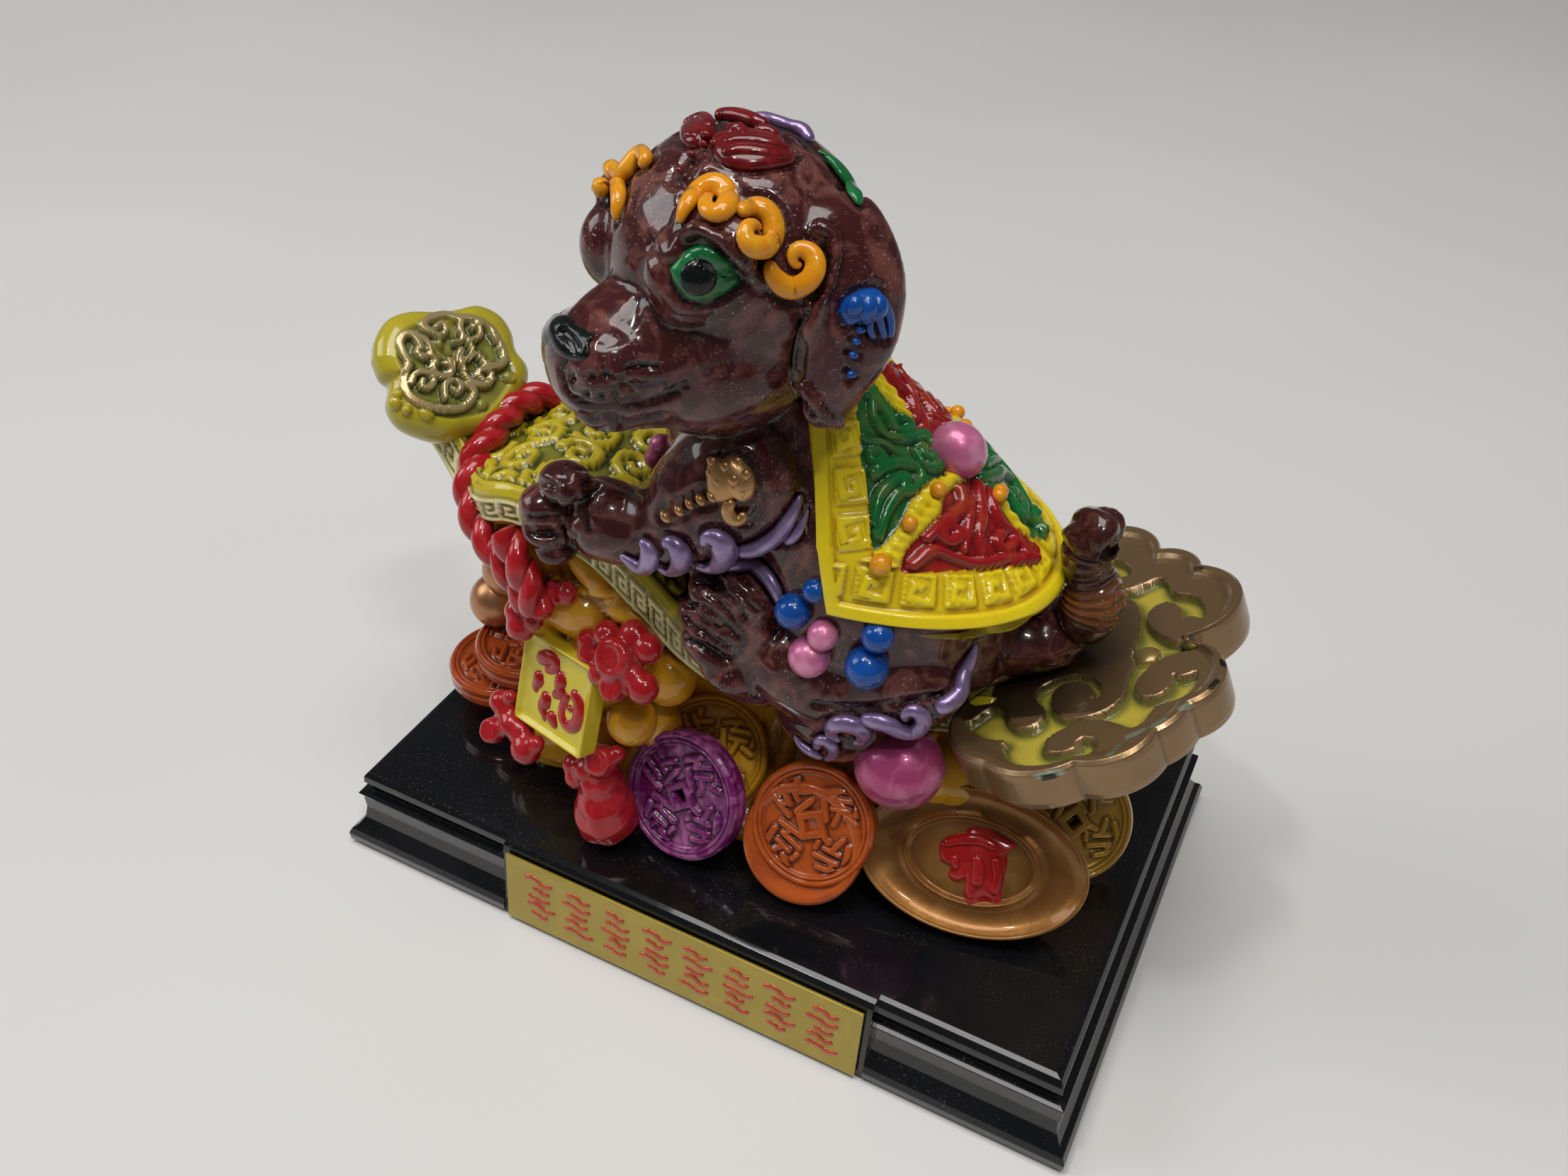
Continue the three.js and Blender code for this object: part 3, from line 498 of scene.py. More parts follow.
class Clay:
    """A mesh being modelled, in millimetres of its own frame."""

    def __init__(self, source: Form | bpy.types.Mesh, place: Place = Place.FIGURE) -> None:
        """Takes over a bmesh, which is freed, or a mesh."""
        self.place = place
        if isinstance(source, Form):
            self.mesh = bpy.data.meshes.new("clay")
            source.normal_update()
            source.to_mesh(self.mesh)
            source.free()
        else:
            self.mesh = source

    @classmethod
    def of(cls, parts: Sequence[Form], place: Place = Place.FIGURE) -> "Clay":
        """Several parts as one form."""
        return cls(gathered(parts), place)

    @classmethod
    def fused(cls, parts: Sequence[Form], voxel: float, rounds: int) -> "Clay":
        """Parts made one skin, with their creases rounded.

        Args:
            parts: closed meshes that run into each other.
            voxel: the skin's face size, in millimetres.
            rounds: how often it is smoothed.

        Returns:
            The fused form.
        """
        rough = cls.of(parts)
        body = bpy.data.objects.new("fusing", rough.mesh)
        bpy.context.scene.collection.objects.link(body)
        remesh = body.modifiers.new("skin", "REMESH")
        remesh.mode = "VOXEL"
        remesh.voxel_size = voxel
        soft = body.modifiers.new("soft", "SMOOTH")
        soft.factor = 0.5
        soft.iterations = rounds
        graph = bpy.context.evaluated_depsgraph_get()
        fresh = bpy.data.meshes.new_from_object(body.evaluated_get(graph))
        bpy.data.objects.remove(body)
        bpy.data.meshes.remove(rough.mesh)
        return cls(fresh)

    @property
    def points(self) -> Array:
        """The vertices' places."""
        flat = np.empty(len(self.mesh.vertices) * 3, np.float32)
        self.mesh.vertices.foreach_get("co", flat)
        return flat.reshape(-1, 3).astype(float)

    @points.setter
    def points(self, places: Array) -> None:
        """Moves the vertices."""
        self.mesh.vertices.foreach_set("co", places.astype(np.float32).ravel())
        self.mesh.update()

    @property
    def normals(self) -> Array:
        """The vertices' normals."""
        flat = np.empty(len(self.mesh.vertices) * 3, np.float32)
        self.mesh.vertex_normals.foreach_get("vector", flat)
        return flat.reshape(-1, 3).astype(float)

    def tree(self) -> BVHTree:
        """A search tree of the surface."""
        bm = bmesh.new()
        bm.from_mesh(self.mesh)
        tree = BVHTree.FromBMesh(bm)
        bm.free()
        return tree

    def push(self, heights: Array) -> None:
        """Moves the vertices along their normals."""
        self.points = self.points + self.normals * heights[:, None]

    def carve(self, ridges: Sequence[Ridge]) -> None:
        """Raises the highest and sinks the deepest of some lines."""
        if not ridges:
            return
        where = self.points
        lifts = np.stack([ridge.lift(where) for ridge in ridges])
        self.push(np.maximum(lifts, 0).max(0) + np.minimum(lifts, 0).min(0))

    def hollows(self, rounds: int = 6, depth: float = 0.12, spared: Any = 0.0) -> None:
        """Writes how deep each vertex lies below its surroundings, as the attribute that darkens it with
        painted shade.

        Args:
            rounds: how often the surroundings are smoothed.
            depth: the depth in millimetres at which the painted shade is full.
            spared: the share of the painted shade that each vertex is kept free of.
        """
        count = len(self.mesh.vertices)
        if count < FEWEST_SHADED:
            self.write("dip", "FLOAT", np.zeros(count))
            return
        pairs = np.empty(len(self.mesh.edges) * 2, np.int32)
        self.mesh.edges.foreach_get("vertices", pairs)
        a, b = pairs.reshape(-1, 2).T
        share = np.maximum(np.bincount(a, minlength=count) + np.bincount(b, minlength=count), 1)[:, None]
        start = self.points
        smooth = start.copy()
        for _ in range(rounds):
            total = np.zeros_like(smooth)
            for k in range(3):
                total[:, k] = np.bincount(a, smooth[b, k], count) + np.bincount(b, smooth[a, k], count)
            smooth = 0.5 * smooth + 0.5 * total / share
        # Painted shade: the deeper a vertex lies below its smoothed surroundings, the darker it is painted.
        dips = ((smooth - start) * self.normals).sum(1) / depth
        self.write("dip", "FLOAT", np.clip(dips, 0, 1) * (1 - spared))

    def write(self, name: str, kind: str, values: Array) -> None:
        """Stores one value or colour per vertex."""
        layer = self.mesh.attributes.get(name) or self.mesh.attributes.new(name, kind, "POINT")
        layer.data.foreach_set("value" if kind == "FLOAT" else "color", values.astype(np.float32).ravel())

    def paint(self, colours: Array) -> None:
        """Stores a colour per vertex."""
        self.write("paint", "FLOAT_COLOR", np.hstack([colours, np.ones((len(colours), 1))]))

    def gild(self, shares: Array) -> None:
        """Stores how metallic each vertex is."""
        self.write("metal", "FLOAT", shares)

    def mirrored(self, matrix: Matrix) -> "Clay":
        """A copy on the other side of a frame's XZ plane, with its faces turned out again."""
        other = self.mesh.copy()
        other.transform(matrix @ Matrix.Diagonal((1, -1, 1, 1)) @ matrix.inverted())
        other.flip_normals()
        return Clay(other, self.place)

    def level_normals(self) -> None:
        """Turns each vertex's normal to its biggest faces, so that flat faces shade flat."""
        areas = np.array([face.area for face in self.mesh.polygons])
        sums = np.zeros((len(self.mesh.vertices), 3))
        for face, area in zip(self.mesh.polygons, areas):
            for index in face.vertices:
                sums[index] += np.array(face.normal) * area
        self.mesh.normals_split_custom_set_from_vertices(unit(sums).tolist())

    def show(
        self, name: str, material: bpy.types.Material, slot: str, node: str, hollow: float = 0.12,
        flat: bool = False
    ) -> None:
        """Makes the form a finished piece.

        Args:
            name: the piece's name.
            material: what it wears.
            slot: the record's slot for it; not used.
            node: the CAD node that it stands for.
            hollow: the depth in millimetres at which the painted shade is full.
            flat: whether its normals follow its biggest faces.
        """
        if "dip" not in self.mesh.attributes:
            self.hollows(depth=hollow)
        self.mesh.transform(Matrix.Scale(MILLIMETRE, 4) @ self.place.matrix())
        self.mesh.polygons.foreach_set("use_smooth", [True] * len(self.mesh.polygons))
        if flat:
            self.level_normals()
        self.mesh.name = name
        self.mesh.materials.clear()
        self.mesh.materials.append(material)
        piece = bpy.data.objects.new(name, self.mesh)
        bpy.context.scene.collection.objects.link(piece)
        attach(piece, "root")
        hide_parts(node)
        log.info("%s: %d faces", name, len(self.mesh.polygons))

    def wear(self, name: str, paint: Paint, hollow: float = 0.12) -> None:
        """Makes the form a finished piece of the figurine."""
        self.show(name, paint.value.material(), paint.value.slot, "figurine", hollow)


# The photograph's camera


@dataclass(frozen=True)
class Eye:
    """Where the photograph was taken from, in millimetres of the row's frame, and its angles."""

    place: Triple = (64.169, -137.121, 171.879)
    yaw: float = 0.450378
    pitch: float = 0.680625
    roll: float = 0.034708
    focal: float = 1908.84
    width: float = 2212.0
    height: float = 1659.0
    sensor: float = 36.0
    first_depth: float = 210.0

    def axes(self) -> tuple[Vector, Vector, Vector]:
        """The camera's right, up and forward directions."""
        forward = Vector((
            -math.sin(self.yaw) * math.cos(self.pitch),
            math.cos(self.yaw) * math.cos(self.pitch),
            -math.sin(self.pitch),
        ))
        right = Vector((math.cos(self.yaw), math.sin(self.yaw), 0))
        up = right.cross(forward)
        turn, tilt = math.cos(self.roll), math.sin(self.roll)
        return turn * right + tilt * up, turn * up - tilt * right, forward

    def ray(self, spot: Sequence[float]) -> tuple[Vector, Vector]:
        """The line of sight through a pixel, as a start and a direction in the figure's frame."""
        right, up, forward = self.axes()
        x = (float(spot[0]) - self.width / 2) / self.focal
        y = (self.height / 2 - float(spot[1])) / self.focal
        back = Place.FIGURE.matrix().inverted()
        direction = (forward + x * right + y * up).normalized()
        return back @ Vector(self.place), (back.to_3x3() @ direction).normalized()

    def on_plane(self, spot: Sequence[float], point: Sequence[float], normal: Sequence[float]) -> Vector:
        """Where the line of sight through a pixel meets a plane of the figure's frame."""
        start, direction = self.ray(spot)
        n = Vector(normal)
        return start + direction * ((Vector(point) - start).dot(n) / direction.dot(n))

    def lay(self, spots: Sequence[Sequence[float]], tree: BVHTree) -> tuple[Array, Array]:
        """Pixels laid on a surface.

        Args:
            spots: pixels of the photograph.
            tree: the surface.

        Returns:
            Their points and normals; a pixel beside the surface takes its nearest point.
        """
        points, normals = [], []
        depth = self.first_depth
        for spot in spots:
            start, direction = self.ray(spot)
            point, normal, _, distance = tree.ray_cast(start, direction)
            if point is None:
                point, normal, _, _ = tree.find_nearest(start + direction * depth)
            else:
                depth = distance
            points.append(point)
            normals.append(normal)
        return np.array(points), np.array(normals)

    def place_camera(self) -> None:
        """Adds the scene's camera."""
        data = bpy.data.cameras.new("photo_camera")
        data.sensor_width = self.sensor
        data.lens = self.focal * self.sensor / self.width
        data.clip_start, data.clip_end = 0.01, 20.0
        camera = bpy.data.objects.new("photo_camera", data)
        right, up, forward = self.axes()
        turn = Matrix((right, up, -forward)).transposed().to_4x4()
        camera.matrix_world = Matrix.Translation(Vector(self.place) * MILLIMETRE) @ turn
        bpy.context.scene.collection.objects.link(camera)
        bpy.context.scene.camera = camera


@dataclass(frozen=True)
class Loupe:
    """A magnified part of the photograph, in whose pixels a feature is drawn."""

    left: float
    top: float
    zoom: float

    def spots(self, points: Sequence[Sequence[float]]) -> list[Pair]:
        """The photograph's pixels for points of the magnified part."""
        return [(self.left + p[0] / self.zoom, self.top + p[1] / self.zoom) for p in points]

    def lay(self, points: Sequence[Sequence[float]], tree: BVHTree) -> tuple[Array, Array]:
        """Points of the magnified part laid on a surface, as places and normals."""
        return EYE.lay(self.spots(points), tree)


EYE = Eye()
HEAD_VIEW = Loupe(700, 120, 2.529)
PAW_VIEW = Loupe(730, 620, 4.5)
CROWN_VIEW = Loupe(860, 130, 4.0)
JEWEL_VIEW = Loupe(620, 820, 3.6)
FOLD_VIEW = Loupe(700, 540, 4.4)
SCEPTRE_VIEW = Loupe(500, 400, 3.136)
CLOTH_VIEW = Loupe(1000, 450, 1.96)
PLATE_VIEW = Loupe(1330, 690, 3.336)
HAUNCH_VIEW = Loupe(960, 780, 3.409)
INGOT_VIEW = Loupe(1040, 960, 2.613)


def vine(view: Loupe, line: Sequence[Triple], tree: BVHTree, rise: float = 0.5,
         flatness: float = 0.75) -> Form:
    """A raised scroll drawn on a surface.

    Args:
        view: the part of the photograph that it is drawn in.
        line: its middle line as (x, y, half width), in that part's pixels.
        tree: the surface that carries it.
        rise: how far its middle stands off the surface, in half widths.
        flatness: its height as a share of its width.

    Returns:
        A closed tube.
    """
    path = smooth_path(line, max(10, 7 * len(line)))
    points, normals = view.lay(path, tree)
    depth = np.linalg.norm(points - np.array(EYE.ray((EYE.width / 2, EYE.height / 2))[0]), axis=1)
    wide = path[:, 2] / view.zoom * depth / EYE.focal
    for _ in range(3):
        normals[1:-1] = unit(normals[:-2] + normals[1:-1] + normals[2:])
        points[1:-1] = 0.25 * points[:-2] + 0.5 * points[1:-1] + 0.25 * points[2:]
    return tube(points + normals * (wide * rise)[:, None], normals, wide, wide * flatness)


def boss(
    view: Loupe, outline: Sequence[Pair], tree: BVHTree, rise: float, sink: float = 0.5, rings: int = 14,
    steps: int = 72
) -> Form:
    """A domed patch drawn on a surface.

    Args:
        view: the part of the photograph that it is drawn in.
        outline: its closed outline in that part's pixels.
        tree: the surface that carries it.
        rise: the dome's height in millimetres.
        sink: how far its edge and back lie below the surface.
        rings: rings from the middle to the edge.
        steps: points round it.

    Returns:
        A closed shell.
    """
    corners = np.array(outline, float)
    middle = corners.mean(0)
    rim = smooth_path(np.vstack([corners, corners[:1]]), steps + 1)[:steps]
    disc = [middle]
    for ring in range(1, rings + 1):
        disc += [middle + (point - middle) * (ring / rings) for point in rim]
    points, normals = view.lay(disc, tree)
    shares = np.concatenate([[0.0], np.repeat(np.arange(1, rings + 1) / rings, steps)])
    dome = rise * np.sqrt(np.clip(1 - shares**2.4, 0, 1)) - sink * shares**10
    lifted = points + normals * dome[:, None]
    under = points - normals * (sink + 0.3)

    def pick(source: Array, ring: Array, step: Array) -> Array:
        """Points of a ring, with ring 0 the middle."""
        place = np.where(ring <= 0, 0, 1 + (ring - 1) * steps + step % steps)
        return source[place.astype(int)]

    def place(u: Array, v: Array) -> Array:
        """Points of the shell: the dome from its middle out, then the back."""
        step = np.rint(u * steps).astype(int)
        level = np.rint(v * 2 * rings).astype(int)
        back = level > rings
        ring = np.where(back, 2 * rings - level, level)
        return np.where(back[:, None], pick(under, ring, step), pick(lifted, ring, step))

    return wrapped(steps, 2 * rings, place)


# Puppy

TORSO = (
    (20, 12, 10, 11), (22, 12, 13, 14.5), (33, 13, 19.6, 20.2), (47, 12.6, 20.2, 20.2), (56, 7.8, 17.6, 17.4),
    (65, 0.9, 12.1, 14), (73, -3.6, 9, 11.4), (80, -5.5, 8.5, 9.6), (86, -6, 7, 8),
)


def trunk(angle: Array, z: Array, growth: Any = 0.0) -> Array:
    """Points of the torso at angles from straight back and at heights, grown outward."""
    levels = np.array(TORSO, float)
    x, a, b = (np.interp(z, levels[:, 0], levels[:, k]) for k in (1, 2, 3))
    return np.stack([x + (a + growth) * np.cos(angle), (b + growth) * np.sin(angle), z + 0 * angle], -1)


@dataclass
class Head:
    """The puppy's head, in a frame of its own: x to the nose, y to its left, z up."""

    turn: float = math.radians(50)
    roll: float = math.radians(11)
    place: Triple = (-6.5, -7, 87.1)
    skull: float = 15.7
    far_ear_forward: float = 6.0
    far_ear_share: float = 0.85

    def matrix(self) -> Matrix:
        """From the head's frame to the figure's."""
        turned_head = Matrix.Rotation(math.pi + self.turn, 4, "Z") @ Matrix.Rotation(self.roll, 4, "X")
        return Matrix.Translation(self.place) @ turned_head

    def blob(self, x: float, y: float, z: float, a: float, b: float, c: float,
             heading: Triple = (1, 0, 0)) -> Form:
        """An egg in the head's frame."""
        bm = egg((x, y, z), (a, b, c), heading)
        bmesh.ops.transform(bm, matrix=self.matrix(), verts=bm.verts)
        return bm

    def muzzle(self) -> Form:
        """The muzzle's long form, lofted through its sections."""
        sections = smooth_path(
            [(0, -5.5, 14, 14), (8, -6.6, 12.2, 11.8), (14, -7.6, 9.7, 9.3), (18.4, -8, 7.9, 7.9),
             (21.8, -7.8, 6.4, 6.2), (24.2, -7.6, 4.4, 4.4), (25.4, -7.6, 1.6, 1.6)], 60)
        matrix = self.matrix()

        def place(u: Array, v: Array) -> Array:
            """Points round the sections."""
            x, z, a, b = sampled(v, np.linspace(0, 1, 60), sections).T
            a, b, angle = a * drawn_in(v), b * drawn_in(v), 2 * math.pi * u
            return moved(matrix, np.stack([x, a * np.cos(angle), z + b * np.sin(angle)], -1))

        return wrapped(48, 60, place)

    def ear(self, side: int) -> Form:
        """A hanging ear: a thin lobe from the side of the skull down to the jaw."""
        forward, slim = (self.far_ear_forward, self.far_ear_share) if side < 0 else (0.0, 1.0)
        stations = [(-5.4, 9.6, 8.4, 4.2, 2), (-5.2, 13.4, 5.6, 5.6, 2.3), (-4.8, 16.4, 0, 6.7, 2.1),
                    (-3.8, 17.2, -5.6, 6.2, 1.9), (-1.4, 16.8, -11, 4.3, 1.8), (0.9, 15.6, -16.2, 2.0, 1.5)]
        path = smooth_path([(x + forward, side * y, z, a * slim, b * slim) for x, y, z, a, b in stations], 40)
        over = np.tile([[0.0, side, 0.15]], (40, 1))
        bm = tube(path[:, :3], over, path[:, 3], path[:, 4], 32)
        bmesh.ops.transform(bm, matrix=self.matrix(), verts=bm.verts)
        return bm

    def forms(self) -> list[Form]:
        """The forms that are fused with the body."""
        parts = [
            self.blob(0, 0, 0, self.skull, self.skull, self.skull),
            self.muzzle(),
            self.blob(5, 0, -9.6, 12.6, 12.8, 10),
            self.blob(18.6, 0, -12.8, 4.6, 5.2, 3.2),
            self.blob(19.2, 4.2, -7.2, 5.2, 4.2, 5),
            self.blob(19.2, -4.2, -7.2, 5.2, 4.2, 5),
        ]
        for side in (-1, 1):
            parts.append(self.blob(11.2, side * 8.4, 2.2, 5, 4.2, 5.6))
            parts.append(self.blob(8.6, side * 11.6, 6.8, 5.6, 3.4, 3.4, (0.5, -side * 0.86, 0.3)))
            parts.append(self.ear(side))
        return parts


@dataclass
class Puppy:
    """The lying puppy: its enamelled body, and the scrolls, beads and drops on it."""

    voxel: float = 0.485
    rounds: int = 5
    scroll_swell: float = 1.18
    groove_depth: float = 0.4
    groove_room: float = 0.45
    toe: float = 3.6
    head: Head = field(default_factory=Head)
    halos: list[Ridge] = field(default_factory=list)

    def scroll(self, view: Loupe, line: Sequence[Triple], tree: BVHTree, rise: float = 0.3,
               flatness: float = 0.8) -> Form:
        """A vine on the body, with a groove kept for the body round it."""
        path = smooth_path(line, max(10, 6 * len(line)))
        points, _ = view.lay(path, tree)
        wide = path[:, 2] / view.zoom * PIXEL_ON_FIGURE * 1.3 + self.groove_room
        self.halos.append(Ridge(points, wide, -self.groove_depth, 0.5))
        return vine(view, [(x, y, w * self.scroll_swell) for x, y, w in line], tree, rise, flatness)

    def patch(self, view: Loupe, outline: Sequence[Pair], tree: BVHTree, rise: float) -> Form:
        """A boss on the body, with a groove kept for the body round it."""
        rim, _ = view.lay(smooth_path([*outline, outline[0]], 90), tree)
        self.halos.append(Ridge(rim, np.full(90, 0.8), -self.groove_depth, 0.4))
        return boss(view, outline, tree, rise)

    def torso(self) -> Form:
        """The torso's loft."""
        low, high = TORSO[0][0], TORSO[-1][0]

        def place(u: Array, v: Array) -> Array:
            """Points round the torso, drawn to its middle at both ends."""
            ends = drawn_in(v)
            points = trunk(2 * math.pi * u, low + (high - low) * v)
            middle = trunk(np.zeros_like(u), low + (high - low) * v, -9.0) * [1, 0, 1]
            return middle + (points - middle) * ends[:, None]

        return wrapped(64, 64, place)

    def limb(self, stations: Sequence[Sequence[float]], side: int) -> Form:
        """A leg through [x, y, z, half width, half height]."""
        path = smooth_path([(x, side * y, z, a, b) for x, y, z, a, b in stations], 40)
        return tube(path[:, :3], np.tile([[0.0, 0.0, 1.0]], (40, 1)), path[:, 3], path[:, 4], 24)

    def toes(self, side: int) -> list[Form]:
        """The toes of both paws on one side."""
        parts = []
        fore = ((-26.4, 57.8, 3.4, 2.3), (-29.4, 53.4, 3.6, 2.6), (-29.6, 49.6, 3.4, 2.2),
                (-28.4, 46.9, 3.0, 2.0))
        hind = ((-5.4, 44.6, 4.6, 2.2, 18), (-6.4, 41.0, 4.8, 2.3, 18.8), (-5.6, 37.4, 4.8, 2.4, 19.6),
                (-3.4, 34.4, 4.6, 2.2, 20), (-1.4, 46.4, 4.6, 2.2, 17.4))
        for x, z, length, high in fore:
            parts.append(egg((x, side * 17.6, z), (length, self.toe, high), (-1, 0, 0.15), (0.1, 0, 1)))
        for x, z, length, high, away in hind:
            parts.append(egg((x, side * away, z), (length, self.toe, high), (-0.86, 0, 0.5), (0.5, 0, 0.86)))
        return parts

    def forms(self) -> list[Form]:
        """Every form that is fused into the body."""
        parts = [self.torso(), egg((-5, -4, 60), (12, 13, 13)), egg((-13, 0, 48), (9, 14, 9))]
        base = smooth_path([(22, 0, 36, 11, 7), (30, 0, 35.6, 8.4, 5.8), (35, 0, 36, 6.8, 5),
                            (38.2, 0, 37.8, 5.6, 4.8), (39.9, 0, 40, 4.8, 4.4)], 40)
        parts.append(tube(base[:, :3], np.tile([[0.0, 1.0, 0.0]], (40, 1)), base[:, 4], base[:, 3], 32))
        fore = [(2, 9, 66, 8, 10), (-3, 12, 61, 8, 9.8), (-8, 14, 56.4, 7.2, 9), (-13, 15, 52.8, 6, 6.8),
                (-18, 15.8, 51.4, 5.3, 5.5), (-22.5, 16.4, 52.2, 5.2, 6), (-26.6, 16.8, 52.6, 4.8, 6.6)]
        hind = [(19, 14, 35.5, 5.5, 6.5), (14, 16, 33, 6, 7.5), (8, 17, 33.5, 5.4, 6.6),
                (3.4, 17.5, 36.4, 5.2, 6.4), (-0.4, 17.2, 39.4, 5, 6.6)]
        for side in (-1, 1):
            parts += [
                self.limb(fore, side),
                self.limb(hind, side),
                *self.toes(side),
                egg((-2, side * 16.8, 40.2), (5, 5, 7)),
                egg((17, side * 13, 35), (11, 8.8, 8.8)),
                egg((11, side * 15.6, 27.4), (9, 5.6, 8.2)),
                egg((-0.4, side * 17, 33.8), (6.8, 4.8, 6.2), (-0.8, 0, 0.6), (0.6, 0, 0.8)),
            ]
        return parts + self.head.forms()

    def lines(self, tree: BVHTree) -> list[Ridge]:
        """Lids, ear edges, toe grooves, wrinkles and whisker dots, drawn on the body."""
        drawn: list[tuple[Loupe, list[tuple[list[Pair], float, float, float]]]] = [
            (HEAD_VIEW, [
                ([(604, 742), (640, 788), (700, 804), (765, 795), (830, 765), (872, 738)], 0.75, 0.5, 0.35),
                ([(640, 602), (668, 540), (715, 508), (770, 530), (840, 590), (905, 655), (960, 706)], 0.9,
                 0.9, 0.6),
                ([(655, 590), (700, 556), (760, 562), (830, 625), (884, 692)], 0.55, 0.4, -0.45),
                ([(596, 700), (575, 640), (556, 590), (548, 540)], 0.9, 0.5, -0.4),
                ([(1152, 505), (1195, 528), (1208, 580), (1190, 680), (1150, 780), (1112, 880), (1092, 1000),
                  (1102, 1080), (1150, 1158), (1200, 1206), (1246, 1200)], 0.8, 0.8, 0.7),
                ([(1178, 560), (1165, 660), (1128, 770), (1088, 880), (1068, 1000), (1078, 1090),
                  (1130, 1180)], 0.6, 0.5, -0.8),
                ([(250, 960), (228, 1010), (236, 1060), (258, 1100), (300, 1130), (380, 1150), (470, 1146),
                  (560, 1128), (650, 1100)], 0.65, 0.5, -0.8),
                ([(270, 1170), (330, 1192), (392, 1178), (450, 1204), (520, 1192), (590, 1180)], 0.6, 0.4,
                 -0.75),
                ([(300, 1224), (360, 1236), (430, 1226), (500, 1246), (560, 1232)], 0.6, 0.4, -0.75),
                ([(420, 1085), (480, 1072), (540, 1080), (600, 1066)], 0.55, 0.4, -0.7),
                ([(440, 1128), (520, 1112), (600, 1100), (680, 1068)], 0.55, 0.4, -0.7),
                ([(470, 1010), (520, 1000), (575, 1006)], 0.5, 0.4, -0.6),
                ([(160, 940), (150, 1000), (170, 1060), (200, 1090)], 0.5, 0.4, -0.45),
                ([(612, 655), (640, 620), (670, 587), (715, 570), (760, 580), (800, 610), (840, 650),
                  (874, 697), (845, 734), (800, 764), (745, 783), (690, 777), (650, 740), (622, 700),
                  (612, 655)], 0.5, 0.5, -0.5),
                ([(505, 770), (470, 850), (430, 900), (380, 930)], 1.1, 0.5, -0.3),
                ([(700, 880), (800, 884), (900, 850), (960, 800)], 1.4, 0.6, -0.3),
                ([(285, 800), (340, 740), (420, 690), (480, 650)], 1.2, 1.0, 0.25),
            ]),
            (PAW_VIEW, [
                ([(60, 290), (130, 270), (200, 285), (250, 300)], 0.6, 0.4, -0.7),
                ([(55, 490), (120, 500), (200, 490), (240, 480)], 0.6, 0.4, -0.7),
                ([(90, 600), (150, 605), (240, 600)], 0.6, 0.4, -0.7),
                ([(262, 280), (290, 340), (290, 420), (240, 490), (255, 560), (300, 650)], 0.75, 0.5, 0.55),
                ([(520, 300), (470, 350), (430, 410), (440, 500), (450, 570)], 0.6, 0.4, -0.5),
                ([(300, 150), (420, 210), (560, 250), (700, 310), (800, 360)], 0.7, 0.4, -0.35),
                ([(1440, 90), (1530, 190), (1560, 320), (1540, 440), (1480, 540), (1400, 560)], 0.8, 0.5,
                 -0.6),
                ([(1130, 905), (1210, 905), (1300, 960), (1380, 1040), (1440, 1130)], 0.7, 0.4, -0.75),
                ([(1090, 1050), (1180, 1070), (1260, 1120), (1330, 1190), (1400, 1260)], 0.7, 0.4, -0.75),
                ([(1060, 1120), (1120, 1190), (1200, 1230), (1270, 1290), (1340, 1330)], 0.7, 0.4, -0.75),
                ([(1080, 1270), (1180, 1310), (1290, 1380), (1360, 1410)], 0.7, 0.4, -0.75),
                ([(1240, 890), (1350, 940), (1450, 1020), (1520, 1090)], 0.6, 0.4, -0.6),
                ([(1180, 1130), (1270, 1180), (1330, 1250), (1380, 1320)], 0.35, 0.25, -0.3),
                ([(1200, 980), (1280, 1040), (1350, 1110), (1400, 1180)], 0.35, 0.25, -0.3),
                ([(1420, 1200), (1450, 1260), (1420, 1330), (1380, 1390)], 0.6, 0.4, -0.5),
            ]),
            (HAUNCH_VIEW, [
                ([(641, 730), (780, 744), (930, 742), (1080, 716), (1251, 689)], 0.9, 0.7, -0.6),
            ]),
        ]
        ridges = []
        for view, line, wide, end, high in ((view, *row) for view, rows in drawn for row in rows):
            path = smooth_path(line, 12 * len(line))
            points, _ = view.lay(path, tree)
            taper = np.interp(np.linspace(0, 1, len(path)), [0, 0.3, 0.7, 1], [end, wide, wide, end])
            ridges.append(Ridge(points, taper, high))
        dots = [(270, 1045), (335, 1040), (395, 1035), (320, 1105), (375, 1110), (430, 1112), (495, 1100),
                (455, 1055)]
        points, _ = HEAD_VIEW.lay(dots, tree)
        ridges += [Ridge(point[None], np.array([0.55]), -0.8) for point in points]
        lumps = ((370, 240, 1.0), (430, 230, 0.8), (360, 300, 1.1), (330, 360, 1.2), (290, 310, 0.8),
                 (320, 440, 1.0), (330, 520, 1.2), (380, 550, 0.9), (290, 480, 0.8), (400, 340, 0.9),
                 (350, 590, 0.8))
        for x, y, wide in lumps:
            points, _ = PAW_VIEW.lay([(x, y)], tree)
            ridges.append(Ridge(points, np.array([wide]), 0.75))
        return ridges

    def body(self) -> tuple[Clay, BVHTree]:
        """The enamelled body, and the tree that features are laid on."""
        clay = Clay.fused(self.forms(), self.voxel, self.rounds)
        tree = clay.tree()
        clay.carve(self.lines(tree))
        return clay, tree

    def build(self) -> None:
        """Builds the puppy's pieces."""
        clay, tree = self.body()
        self.eyes(tree)
        self.nose(tree)
        self.brows(tree)
        self.crown(tree)
        self.scrolls(tree)
        self.tail()
        clay.carve(self.halos)
        clay.wear("puppy_body", Paint.MAROON, 0.16)

